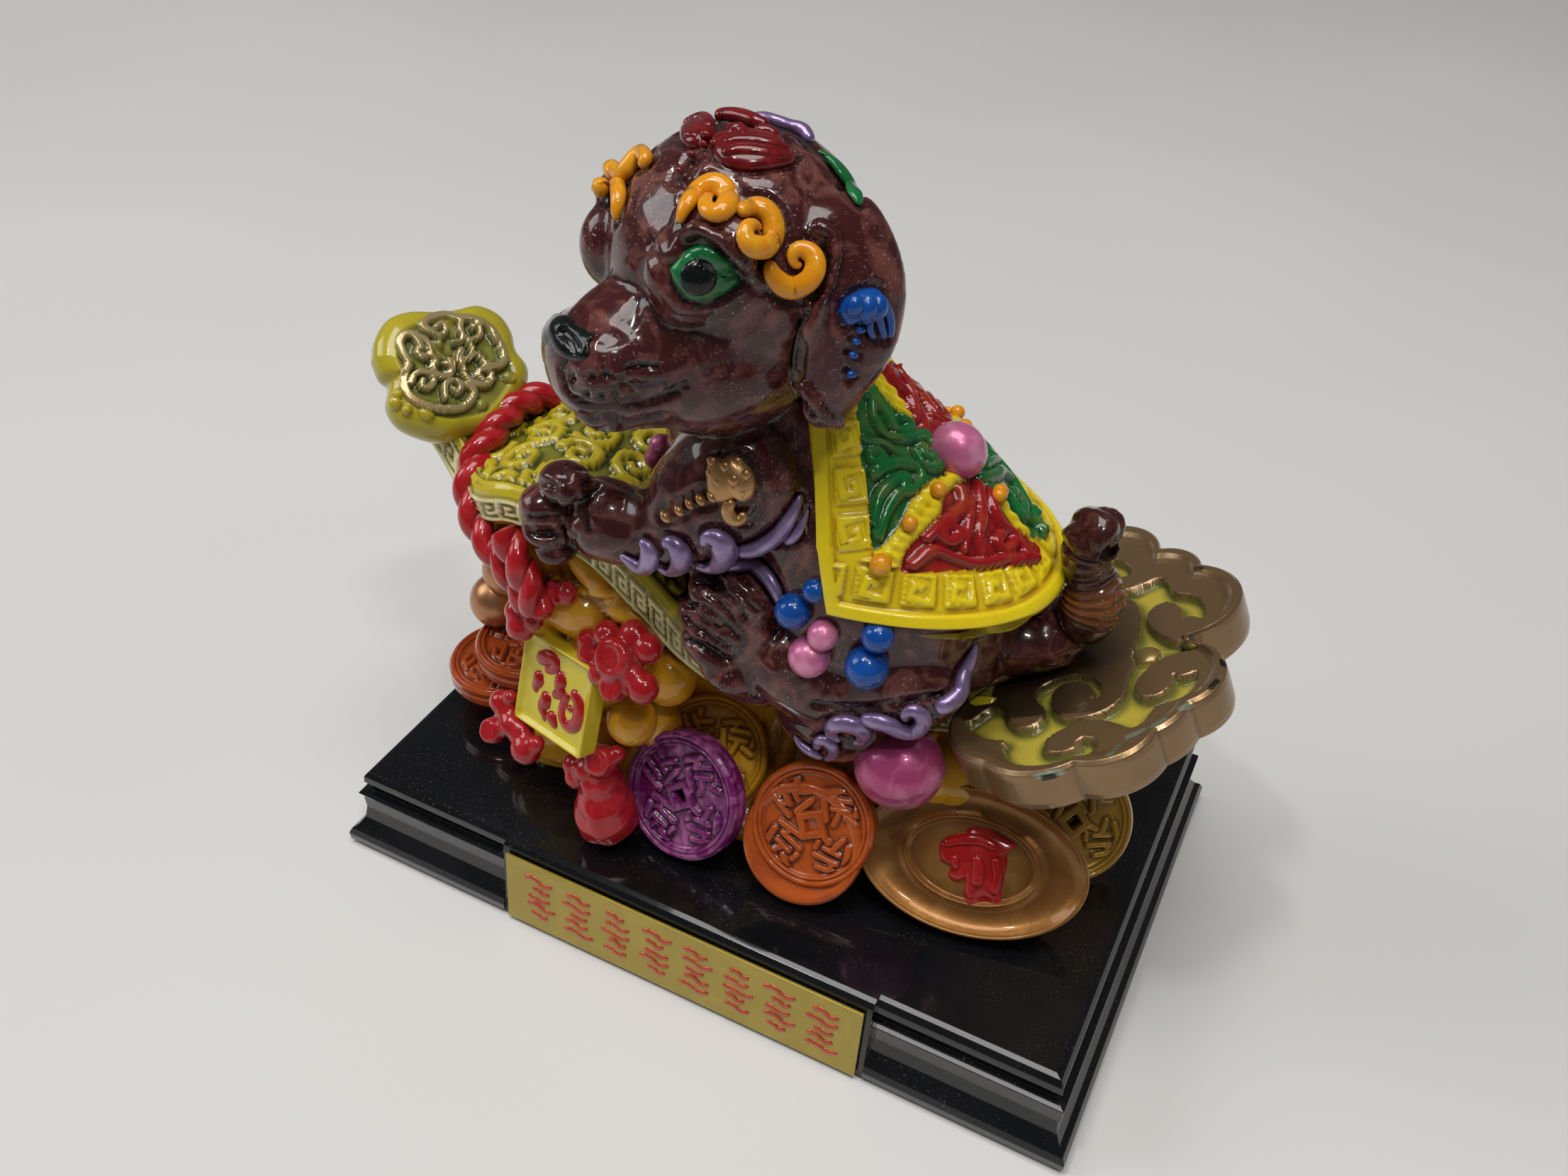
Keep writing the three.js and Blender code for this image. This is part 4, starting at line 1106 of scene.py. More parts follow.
    def eyes(self, tree: BVHTree) -> None:
        """Green eyes, each a domed almond with a round black pupil, and their mirrored pair."""
        almond = [(612, 655), (640, 620), (670, 587), (715, 570), (760, 580), (800, 610), (840, 650),
                  (870, 695), (845, 730), (800, 760), (745, 779), (690, 773), (650, 738), (625, 697)]
        turns = np.linspace(0, 2 * math.pi, 16)[:-1]
        disc = [(722 + 72 * math.cos(turn), 686 + 72 * math.sin(turn)) for turn in turns]
        iris = Clay(boss(HEAD_VIEW, almond, tree, 0.8))
        pupil = Clay(boss(HEAD_VIEW, disc, iris.tree(), 0.35, 0.3))
        for name, clay, paint in (("eye", iris, Paint.GREEN), ("pupil", pupil, Paint.BLACK)):
            clay.mirrored(self.head.matrix()).wear(f"far_{name}", paint)
            clay.wear(f"near_{name}", paint)

    def nose(self, tree: BVHTree) -> None:
        """The black nose with its near nostril."""
        outline = [(165, 830), (190, 795), (220, 803), (245, 832), (285, 872), (322, 910), (345, 945),
                   (332, 983), (300, 992), (255, 986), (215, 962), (185, 912), (166, 862)]
        near = Clay(boss(HEAD_VIEW, outline, tree, 0.55))
        far = near.mirrored(self.head.matrix())
        middle = egg((22.8, 0, -3.9), (2.1, 3.0, 2.4))
        bmesh.ops.transform(middle, matrix=self.head.matrix(), verts=middle.verts)
        parts = [middle]
        for clay in (near, far):
            bm = bmesh.new()
            bm.from_mesh(clay.mesh)
            parts.append(bm)
        nose = Clay.fused(parts, 0.22, 3)
        hole, _ = HEAD_VIEW.lay(smooth_path([(236, 880), (262, 905), (285, 940)], 14), nose.tree())
        nose.carve([Ridge(hole, np.full(14, 0.7), -0.5)])
        nose.wear("nose", Paint.BLACK)

    def brows(self, tree: BVHTree) -> None:
        """The orange-yellow curls over the eyes."""
        near = [
            [(655, 495, 10), (675, 450, 20), (705, 408, 27), (745, 368, 28), (790, 358, 29), (822, 390, 29),
             (825, 435, 29), (795, 462, 27), (755, 450, 23), (748, 415, 17), (768, 395, 10)],
            [(858, 460, 18), (900, 446, 26), (945, 445, 29), (980, 480, 29), (985, 535, 29), (955, 576, 29),
             (908, 572, 29), (886, 538, 24), (898, 505, 19), (928, 502, 13), (936, 522, 8)],
            [(972, 622, 12), (985, 675, 24), (1025, 715, 29), (1080, 722, 29), (1125, 690, 28),
             (1140, 640, 27), (1120, 598, 25), (1075, 590, 23), (1054, 614, 17), (1070, 642, 12),
             (1095, 640, 8)],
        ]
        far = [
            [(520, 300, 14), (546, 272, 22), (520, 246, 26), (470, 242, 28), (428, 264, 28), (410, 300, 26),
             (428, 332, 22), (464, 328, 16), (480, 302, 10)],
            [(412, 388, 26), (396, 372, 34), (404, 350, 26)],
            [(446, 352, 24), (452, 400, 24), (442, 450, 18), (432, 488, 8)],
        ]
        parts = [self.scroll(HEAD_VIEW, [(x, y, w * 1.2) for x, y, w in line], tree) for line in near]
        parts += [self.scroll(HEAD_VIEW, line, tree, 0.6, 1.0) for line in far]
        Clay.of(parts).wear("brow_curls", Paint.AMBER)

    def crown(self, tree: BVHTree) -> None:
        """The cloud, drops, band and leaf on top of the head, and the spray on the ear."""
        cloud = [
            self.patch(CROWN_VIEW, [(560, 236), (650, 206), (760, 200), (900, 205), (985, 250), (1010, 305),
                                    (1062, 352), (1040, 400), (950, 424), (820, 440), (700, 430), (620, 390),
                                    (566, 320)], tree, 0.8),
            self.patch(CROWN_VIEW, [(388, 225), (410, 160), (470, 122), (540, 122), (596, 160), (600, 215),
                                    (560, 262), (500, 300), (430, 304), (395, 275)], tree, 0.8),
            self.scroll(CROWN_VIEW, [(590, 150, 34), (660, 140, 40), (740, 146, 40), (820, 172, 38),
                                     (900, 200, 28)], tree),
        ]
        for line in (
            [(676, 262, 18), (690, 226, 30), (730, 220, 32), (756, 246, 28), (730, 268, 20)],
            [(640, 300, 26), (720, 292, 34), (820, 292, 36), (920, 312, 34), (1010, 342, 24)],
            [(810, 232, 26), (880, 232, 34), (950, 262, 26)],
            [(630, 360, 24), (700, 352, 38), (800, 352, 42), (900, 366, 38), (990, 380, 24)],
            [(440, 200, 30), (500, 160, 36), (560, 180, 34), (560, 220, 24)],
            [(430, 268, 30), (470, 262, 32), (505, 272, 20)],
        ):
            cloud.append(vine(CROWN_VIEW, line, tree, 0.75, 0.75))
        for x, y, r in ((545, 265, 36), (532, 308, 28), (466, 368, 34), (404, 462, 48), (590, 300, 24)):
            line = [(x - 10, y + 12, r * 0.7), (x, y, r), (x + 12, y - 12, r * 0.7)]
            cloud.append(self.scroll(CROWN_VIEW, line, tree, 0.4, 0.9))
        Clay.of(cloud).wear("crown_cloud", Paint.DARK_RED)
        band = [(806, 142, 16), (870, 158, 28), (950, 188, 32), (1010, 208, 32), (1080, 242, 40),
                (1132, 296, 24)]
        Clay(self.scroll(CROWN_VIEW, band, tree, 0.6)).wear("crown_band", Paint.MAUVE)
        blade = [(1172, 330, 10), (1210, 352, 24), (1270, 412, 44), (1330, 492, 50), (1382, 576, 40),
                 (1412, 640, 16)]
        leaf = self.scroll(CROWN_VIEW, blade, tree, 0.15, 0.5)
        rib = [(1190, 345, 10), (1262, 405, 18), (1328, 492, 20), (1376, 572, 18), (1400, 622, 8)]
        vein = vine(CROWN_VIEW, rib, tree, 0.9, 0.7)
        Clay.of([leaf, vein]).wear("crown_leaf", Paint.GREEN)
        petals = [[(1250, 820, 22), (1268, 780, 34), (1290, 752, 20)],
                  [(1290, 840, 22), (1310, 790, 36), (1322, 740, 22)],
                  [(1330, 840, 22), (1348, 790, 34), (1356, 742, 20)]]
        spray = [
            *[vine(HEAD_VIEW, line, tree, 1.0, 0.7) for line in petals],
            self.patch(HEAD_VIEW, [(1222, 812), (1248, 762), (1306, 727), (1362, 722), (1385, 760),
                                   (1372, 820), (1330, 858), (1285, 852), (1248, 858)], tree, 1.0),
            self.scroll(HEAD_VIEW, [(1350, 750, 20), (1392, 800, 16), (1405, 860, 14), (1402, 905, 9)], tree),
            self.scroll(HEAD_VIEW, [(1350, 800, 18), (1368, 850, 14), (1384, 905, 9)], tree),
            self.scroll(HEAD_VIEW, [(1330, 830, 16), (1330, 872, 12), (1350, 905, 8)], tree),
            *[self.scroll(HEAD_VIEW, [(x + 5, y - 14, r * 0.7), (x, y, r), (x - 3, y + 14, r * 0.7)], tree)
              for x, y, r in ((1296, 872, 18), (1282, 914, 15), (1272, 962, 17), (1266, 1030, 17))],
        ]
        Clay.of(spray).wear("ear_spray", Paint.BLUE)

    def scrolls(self, tree: BVHTree) -> None:
        """Scrolls and beads on the arm and haunch, mirrored on the far side except for the gold ones."""
        arm = [
            [(772, 640, 16), (822, 668, 42), (846, 735, 56), (820, 795, 52), (762, 792, 46), (704, 762, 30),
             (650, 728, 14)],
            [(930, 672, 26), (975, 645, 46), (1032, 690, 62), (1044, 765, 62), (1004, 815, 46),
             (942, 828, 30), (890, 802, 14)],
            [(1180, 668, 26), (1208, 612, 44), (1282, 622, 66), (1318, 700, 74), (1282, 772, 62),
             (1208, 800, 42), (1124, 792, 20)],
            [(1385, 700, 34), (1480, 690, 52), (1580, 642, 56), (1668, 572, 50), (1738, 472, 38),
             (1780, 392, 24), (1795, 345, 8)],
            [(1700, 655, 18), (1756, 622, 28), (1800, 560, 26), (1830, 490, 14), (1846, 440, 6)],
            [(1310, 802, 28), (1420, 788, 44), (1518, 800, 48), (1598, 872, 46), (1644, 952, 40),
             (1672, 1030, 28), (1690, 1092, 10)],
        ]
        haunch = [
            [(1424, 434, 8), (1396, 500, 26), (1352, 590, 38), (1336, 660, 42), (1290, 710, 44),
             (1216, 748, 36)],
            [(862, 790, 24), (930, 795, 40), (1000, 815, 41), (1060, 845, 39), (1120, 848, 39),
             (1166, 808, 38), (1150, 766, 34), (1106, 752, 28), (1075, 776, 20), (1086, 806, 12)],
            [(772, 902, 14), (730, 870, 24), (736, 826, 36), (790, 808, 42), (850, 824, 42), (882, 860, 36),
             (862, 900, 24), (824, 906, 13)],
            [(658, 936, 16), (666, 902, 23), (702, 896, 27), (732, 926, 27), (736, 966, 22), (700, 988, 14)],
            [(548, 876, 7), (580, 915, 19), (630, 950, 24), (690, 980, 18)],
        ]
        parts = [self.scroll(PAW_VIEW, line, tree) for line in arm]
        parts += [self.scroll(HAUNCH_VIEW, line, tree) for line in haunch]
        near = Clay.of(parts)
        near.mirrored(Matrix.Identity(4)).wear("far_scrolls", Paint.MAUVE)
        near.wear("near_scrolls", Paint.MAUVE)
        for name, spots, paint in (
            ("pink_beads", ((1140, 924, 26), (1164, 891, 19)), Paint.PINK),
            ("blue_beads", ((1124, 858, 22), (1152, 831, 15), (1224, 934, 27), (1239, 893, 20)), Paint.BLUE),
        ):
            beads = []
            for x, y, r in spots:
                points, normals = EYE.lay([(x, y)], tree)
                radius = r * FIGURE_DISTANCE / EYE.focal
                beads.append(egg(tuple(points[0] + normals[0] * radius * 0.35), (radius, radius, radius)))
            clay = Clay.of(beads)
            clay.mirrored(Matrix.Identity(4)).wear(f"far_{name}", paint)
            clay.wear(f"near_{name}", paint)
        beads = []
        for x, y, r in ((958, 478, 48), (1040, 440, 44), (1105, 402, 42), (1175, 372, 50), (1245, 355, 48)):
            line = [(x - r * 0.4, y + r * 0.25, r * 0.8), (x, y, r), (x + r * 0.4, y - r * 0.25, r * 0.8)]
            beads.append(self.scroll(PAW_VIEW, line, tree, 0.4, 0.9))
        cap = [(1190, 220), (1208, 130), (1245, 98), (1300, 112), (1370, 88), (1440, 130), (1495, 200),
               (1520, 280), (1500, 370), (1440, 402), (1380, 380), (1320, 402), (1240, 400), (1200, 330)]
        beads.append(self.patch(PAW_VIEW, cap, tree, 1.3))
        hook = [(1372, 370, 30), (1335, 430, 38), (1362, 490, 42), (1418, 496, 36), (1442, 450, 20)]
        beads.append(self.scroll(PAW_VIEW, hook, tree, 0.5))
        for x, y, r in ((1250, 150, 40), (1330, 180, 46), (1400, 150, 40), (1450, 230, 44), (1380, 260, 50),
                        (1290, 270, 44), (1430, 330, 40), (1340, 350, 36), (1240, 220, 36)):
            line = [(x - 22, y + 8, r * 0.7), (x, y - 8, r), (x + 22, y + 6, r * 0.7)]
            beads.append(vine(PAW_VIEW, line, tree, 1.15, 0.5))
        Clay.of(beads).wear("arm_beads", Paint.GOLD)
        bits = [egg((-17.6, -8.4, 57.9), (2.3, 1.5, 1.5), (0.4, -0.3, 0.86)),
                egg((-16.6, -9, 60.2), (1.6, 1.5, 1.5))]
        Clay.of(bits).wear("collar_bit", Paint.MAGENTA)

    def tail(self) -> None:
        """The tail: a ringed hook over a ridged amber-brown collar, on a base that flares into the body."""
        path = smooth_path([(38.8, 37.6, 5.0, 5.2), (40.2, 40.4, 4.4, 4.8), (40.8, 42.9, 4.2, 4.6),
                            (40.5, 45.4, 3.6, 4), (39.6, 48.0, 3.2, 3.5), (38.9, 50.8, 3.4, 3.7),
                            (39.2, 53.4, 3.7, 4), (40.5, 54.3, 3.5, 3.9), (41.9, 53.4, 2.6, 3.2)], 120)
        line = np.stack([path[:, 0], np.zeros(120), path[:, 1]], 1)
        hook = Clay(tube(line, np.tile([[0.0, 1.0, 0.0]], (120, 1)), path[:, 2], path[:, 3], 110, 1.0, 0.05))
        where = hook.points
        rows = np.linalg.norm(where[:, None] - line[None], axis=2).argmin(1)
        run = run_along(line)[rows]
        slant = run + 0.22 * where[:, 1] + 0.25 * np.sin(where[:, 1] * 1.1)
        turns = np.interp(run, [0, 4.5, 5.5, 9.5, 11, 14, 15.5, 30],
                          [0, 0, 0.14, 0.14, 0.03, 0.05, 0.24, 0.24])
        pitch = np.where(run < 12, 1.25, 1.75)
        swell = 0.3 * np.exp(-((run - 7.5) / 1.8) ** 2)
        hook.push(turns * np.cos(2 * math.pi * slant / pitch) + swell)
        amber = np.exp(-((run - 7.6) / 2.3) ** 4)[:, None]
        hook.paint((1 - amber) * np.array([0.04, 0.0075, 0.007]) + amber * np.array([0.17, 0.055, 0.012]))
        hook.wear("tail", Paint.TAIL, 0.14)


# Blanket


@dataclass
class Blanket:
    """The cloth carved over the back: a keyed yellow band, straps from a bead, and scrolled panels."""

    low: float = 47.2
    top: float = 82.0
    front_low: float = 11.0
    rake: float = 0.33
    band: float = 7.4
    front_band: float = 6.9
    thickness: float = 1.1
    around: int = 250
    along: int = 170
    lining: float = 2.6

    GREEN = ((428, 150), (408, 200), (412, 330), (438, 500), (455, 636), (520, 580), (560, 500), (612, 450),
             (652, 428), (658, 345), (640, 310), (560, 290), (490, 226), (450, 170))
    RED = ((528, 694), (545, 640), (600, 582), (638, 540), (650, 492), (690, 455), (742, 440), (782, 472),
           (802, 520), (850, 580), (896, 622), (908, 676), (800, 690), (700, 696), (560, 704))
    SCROLLS = (
        (((430, 210), (470, 250), (505, 302), (545, 312), (552, 284), (528, 276)), 1.0),
        (((446, 236), (450, 280), (478, 318), (520, 330), (560, 330)), 0.9),
        (((560, 330), (610, 322), (636, 350), (620, 384), (590, 380), (590, 356)), 1.0),
        (((566, 372), (590, 408), (630, 408), (646, 380)), 0.9),
        (((450, 430), (500, 402), (556, 404), (586, 440), (566, 476), (536, 462), (544, 438)), 1.0),
        (((452, 560), (470, 490), (514, 446), (530, 440)), 0.9),
        (((466, 600), (490, 530), (524, 480), (548, 478)), 0.9),
        (((440, 372), (462, 366), (478, 382), (462, 400), (446, 392)), 1.1),
        (((420, 330), (440, 340), (470, 342), (500, 360)), 0.8),
        (((690, 470), (700, 520), (660, 560), (640, 600), (668, 616), (692, 592), (672, 576)), 1.0),
        (((742, 460), (752, 540), (742, 600), (752, 650)), 1.0),
        (((770, 480), (800, 560), (846, 604), (820, 640), (792, 618), (806, 596)), 1.0),
        (((560, 680), (620, 640), (680, 660), (740, 676), (820, 664), (890, 664)), 1.0),
        (((600, 610), (620, 590), (650, 560)), 0.8),
        (((720, 500), (716, 560), (700, 640)), 0.8),
        (((850, 620), (870, 650), (850, 664)), 0.8),
    )

    def front_angle(self, z: Array) -> Array:
        """The angle of the front edge at a height."""
        levels = np.array(TORSO, float)
        x, a = (np.interp(z, levels[:, 0], levels[:, k]) for k in (1, 2))
        return np.arccos(np.clip((self.front_low - (z - self.low) * self.rake - x) / a, -1, 1))

    def lay(self, share: Array, z: Array, growth: Any = 0.0) -> Array:
        """Points of the cloth, which flares out and hangs lower at the back.

        Args:
            share: shares from -1 to 1 between its front edges.
            z: heights before it hangs.
            growth: how far it stands off the torso.

        Returns:
            The points.
        """
        angle = share * self.front_angle(z)
        back = np.clip(np.cos(angle), 0, 1) ** 2
        flare = 2.4 * ease((55 - z) / 8) * back
        return trunk(angle, z + ease((62 - z) / 14) * (1.6 - 2.4 * back), growth + flare)

    def edge_distance(self, where: Array, line: Array) -> tuple[Array, Array]:
        """How far points are from a line, and how far along it.

        Args:
            where: the points.
            line: the line's own points, closely spaced.

        Returns:
            Both distances for each point.
        """
        run = run_along(line)
        gap, along = np.empty(len(where)), np.empty(len(where))
        for block in np.array_split(np.arange(len(where)), max(1, len(where) // 3000)):
            far = np.linalg.norm(where[block, None] - line[None], axis=2)
            nearest = far.argmin(1)
            gap[block], along[block] = far[np.arange(len(block)), nearest], run[nearest]
        return gap, along

    @staticmethod
    def key(p: Array, q: Array, turns: float = 1.25) -> Array:
        """A square meander in a cell from -1 to 1: 1 on its raised line, 0 in its groove."""
        reach = np.maximum(np.abs(p), np.abs(q))
        angle = np.arctan2(q, p) / (2 * math.pi)
        wave = np.cos(2 * math.pi * (reach * turns - angle))
        return ease(wave * 1.6 + 0.5) * ease((1 - reach) / 0.1)

    def spread(self, where: Array) -> Array:
        """Points of the cloth in a plane of its own: its angle in millimetres, and its height."""
        levels = np.array(TORSO, float)
        middle = np.interp(where[:, 2], levels[:, 0], levels[:, 1])
        return np.stack([np.arctan2(where[:, 1], where[:, 0] - middle) * 17, where[:, 2]], 1)

    def laid(self, tree: BVHTree, line: Sequence[Pair], count: int, closed: bool = False) -> Array:
        """A line of the cloth's view laid on the cloth, in the cloth's own plane."""
        spots = [*line, line[0]] if closed else line
        points, _ = CLOTH_VIEW.lay(smooth_path(spots, count), tree)
        return self.spread(points)

    def build(self) -> None:
        """Builds the cloth with its carved pattern."""
        bm = bmesh.new()
        bmesh.ops.create_grid(bm, x_segments=self.around, y_segments=self.along, size=1.0)
        flat = np.array([vert.co[:2] for vert in bm.verts])
        share, z = flat[:, 0], self.low + (flat[:, 1] + 1) / 2 * (self.top - self.low)
        for vert, point in zip(bm.verts, self.lay(share, z, self.thickness)):
            vert.co = point
        bmesh.ops.recalc_face_normals(bm, faces=bm.faces)
        clay = Clay(bm)
        if (clay.normals[len(z) // 2] @ (clay.points[len(z) // 2] - [0, 0, 50])) < 0:
            clay.mesh.flip_normals()
        heights, colours = self.pattern(clay, share)
        clay.push(heights)
        clay.paint(colours)
        clay.hollows(8, 0.22)
        tree = clay.tree()
        solid = bmesh.new()
        solid.from_mesh(clay.mesh)
        bmesh.ops.solidify(solid, geom=solid.faces, thickness=self.thickness + self.lining)
        Clay(solid).wear("blanket", Paint.PAINTED)
        self.bead(tree)

    def pattern(self, clay: Clay, share: Array) -> tuple[Array, Array]:
        """The relief and colours of the cloth.

        Args:
            clay: the bare cloth.
            share: each vertex's share from -1 to 1 between the front edges.

        Returns:
            A height and a colour for each vertex.
        """
        where, bare = clay.points, clay.tree()
        levels = np.linspace(self.low, self.top, 700)
        near, near_run = self.edge_distance(where, self.lay(np.full(700, -1.0), levels, self.thickness))
        far, far_run = self.edge_distance(where, self.lay(np.full(700, 1.0), levels, self.thickness))
        hem = self.lay(np.linspace(-1, 1, 900), np.full(900, self.low), self.thickness)
        foot, foot_run = self.edge_distance(where, hem)
        foot_run = np.minimum(foot_run, foot_run.max() - foot_run)
        side = np.where(share < 0, near, far)
        side_run = np.where(share < 0, near_run, far_run)
        edge = np.minimum(side, foot)
        colours = np.tile([0.8, 0.62, 0.012], (len(where), 1))
        heights = 0.75 * ease((1.9 - edge) / 0.5)
        in_foot = foot < self.band
        in_side = (side < self.front_band) & ~in_foot
        for mask, across, run, pitch, middle in (
            (in_foot, foot, foot_run, 5.9, 4.6),
            (in_side, side, side_run - 5.0, 5.8, 4.4),
        ):
            p = (((run - 5.0) / pitch + 0.5) % 1.0 - 0.5) * pitch / 2.3
            q = (across - middle) / 2.05
            reach = np.maximum(np.abs(p), np.abs(q))
            groove = (1 - self.key(p * 0.98, q * 0.98)) * (reach < 0.86)
            pad = 0.62 * ease((1.04 - reach) / 0.16) - 0.3 * groove
            heights = np.where(mask & (reach < 1.04), np.maximum(heights, pad), heights)
        flat = self.spread(where)
        mirror = np.array([-1.0, 1.0])
        depth = {}
        for name, line in (("green", self.GREEN), ("red", self.RED)):
            outline = self.laid(bare, line, 360, True)
            depth[name] = (inside(outline, flat), inside(outline * mirror, flat))
        green = np.maximum(depth["green"][0], depth["red"][1])
        red = np.maximum(depth["red"][0], depth["green"][1])
        panel = np.maximum(green, red)
        field_share = ease((panel + 0.1) / 0.3)
        twist = 0.18 * np.cos(2 * math.pi * (flat[:, 0] * 0.6 + flat[:, 1] * 0.75) / 1.3)
        cord = np.clip(1 - ((panel + 0.75) / 0.6) ** 2, 0, 1)
        band = (foot < self.band - 0.3) | (side < self.front_band - 0.3)
        strap = 0.25 + (0.55 + twist) * np.sqrt(cord) - 0.35 * field_share
        heights = np.where(~band, np.maximum(heights, strap), heights)
        lift = np.zeros(len(where))
        flat3 = np.hstack([flat, np.zeros((len(flat), 1))])
        for line, wide in self.SCROLLS:
            path = np.hstack([self.laid(bare, line, 50), np.zeros((50, 1))])
            for way in (1, -1):
                lift = np.maximum(lift, Ridge(path * [way, 1, 1], np.full(50, 0.62 * wide), 0.95).lift(flat3))
        heights += np.where(panel > 0.1, lift, 0)
        colours[green > 0] = (0.006, 0.14, 0.03)
        colours[(red > 0) & (red > green)] = (0.3, 0.008, 0.01)
        return heights, colours

    def bead(self, tree: BVHTree) -> None:
        """The bead on the spine and the small balls along the straps."""
        Clay(egg((20.4, 0.4, 62.0), (4.0, 3.6, 3.7), (0.72, 0.05, -0.7))).wear("spine_bead", Paint.PINK)
        balls = []
        for x, y, radius in ((630, 475, 1.05), (553, 570, 1.05), (475, 672, 1.4), (800, 476, 1.1)):
            points, normals = CLOTH_VIEW.lay([(x, y)], tree)
            for way in (1, -1):
                place = (points[0] + normals[0] * 0.35) * [1, way, 1]
                balls.append(egg(tuple(place), (radius, radius, radius)))
        Clay.of(balls).wear("strap_balls", Paint.AMBER)


# Sceptre


def cloud_reach(lobes: Sequence[Triple], angle: Array) -> Array:
    """How far a cloud of round lobes reaches at angles.

    Args:
        lobes: the middle and radius of each.
        angle: the angles, in radians.

    Returns:
        A distance from the cloud's middle for each.
    """
    reach = np.ones_like(angle)
    for x, y, radius in lobes:
        along = x * np.cos(angle) + y * np.sin(angle)
        aside = x * np.sin(angle) - y * np.cos(angle)
        room = radius**2 - aside**2
        reach = np.where(room > 0, np.maximum(reach, along + np.sqrt(np.clip(room, 0, None))), reach)
    return reach


def inside(outline: Array, where: Array) -> Array:
    """How deep points of a plane lie in a closed outline, negative outside it.

    Args:
        outline: the outline's points, closely spaced.
        where: the points.

    Returns:
        A distance for each.
    """
    following = np.roll(outline, -1, axis=0)
    depth = np.empty(len(where))
    for block in np.array_split(np.arange(len(where)), max(1, len(where) // 2000)):
        x, y = where[block, None, 0], where[block, None, 1]
        spans = (outline[None, :, 1] > y) != (following[None, :, 1] > y)
        rise = following[:, 1] - outline[:, 1]
        rise = np.where(rise == 0, 1e-9, rise)
        cross = outline[:, 0] + (y - outline[:, 1]) * (following - outline)[:, 0] / rise
        odd = (spans & (x < cross)).sum(1) % 2
        gap = np.hypot(x - outline[:, 0], y - outline[:, 1]).min(1)
        depth[block] = np.where(odd == 1, gap, -gap)
    return depth


def coil(x: float, y: float, radius: float, start: float, turns: float, count: int) -> Array:
    """A spiral's points in a plane, from its outer end to a fifth of its radius."""
    share = np.linspace(0, 1, count)
    angle = start + turns * 2 * math.pi * share
    r = radius * (1 - 0.8 * share)
    return np.stack([x + r * np.cos(angle), y + r * np.sin(angle), np.zeros(count)], 1)


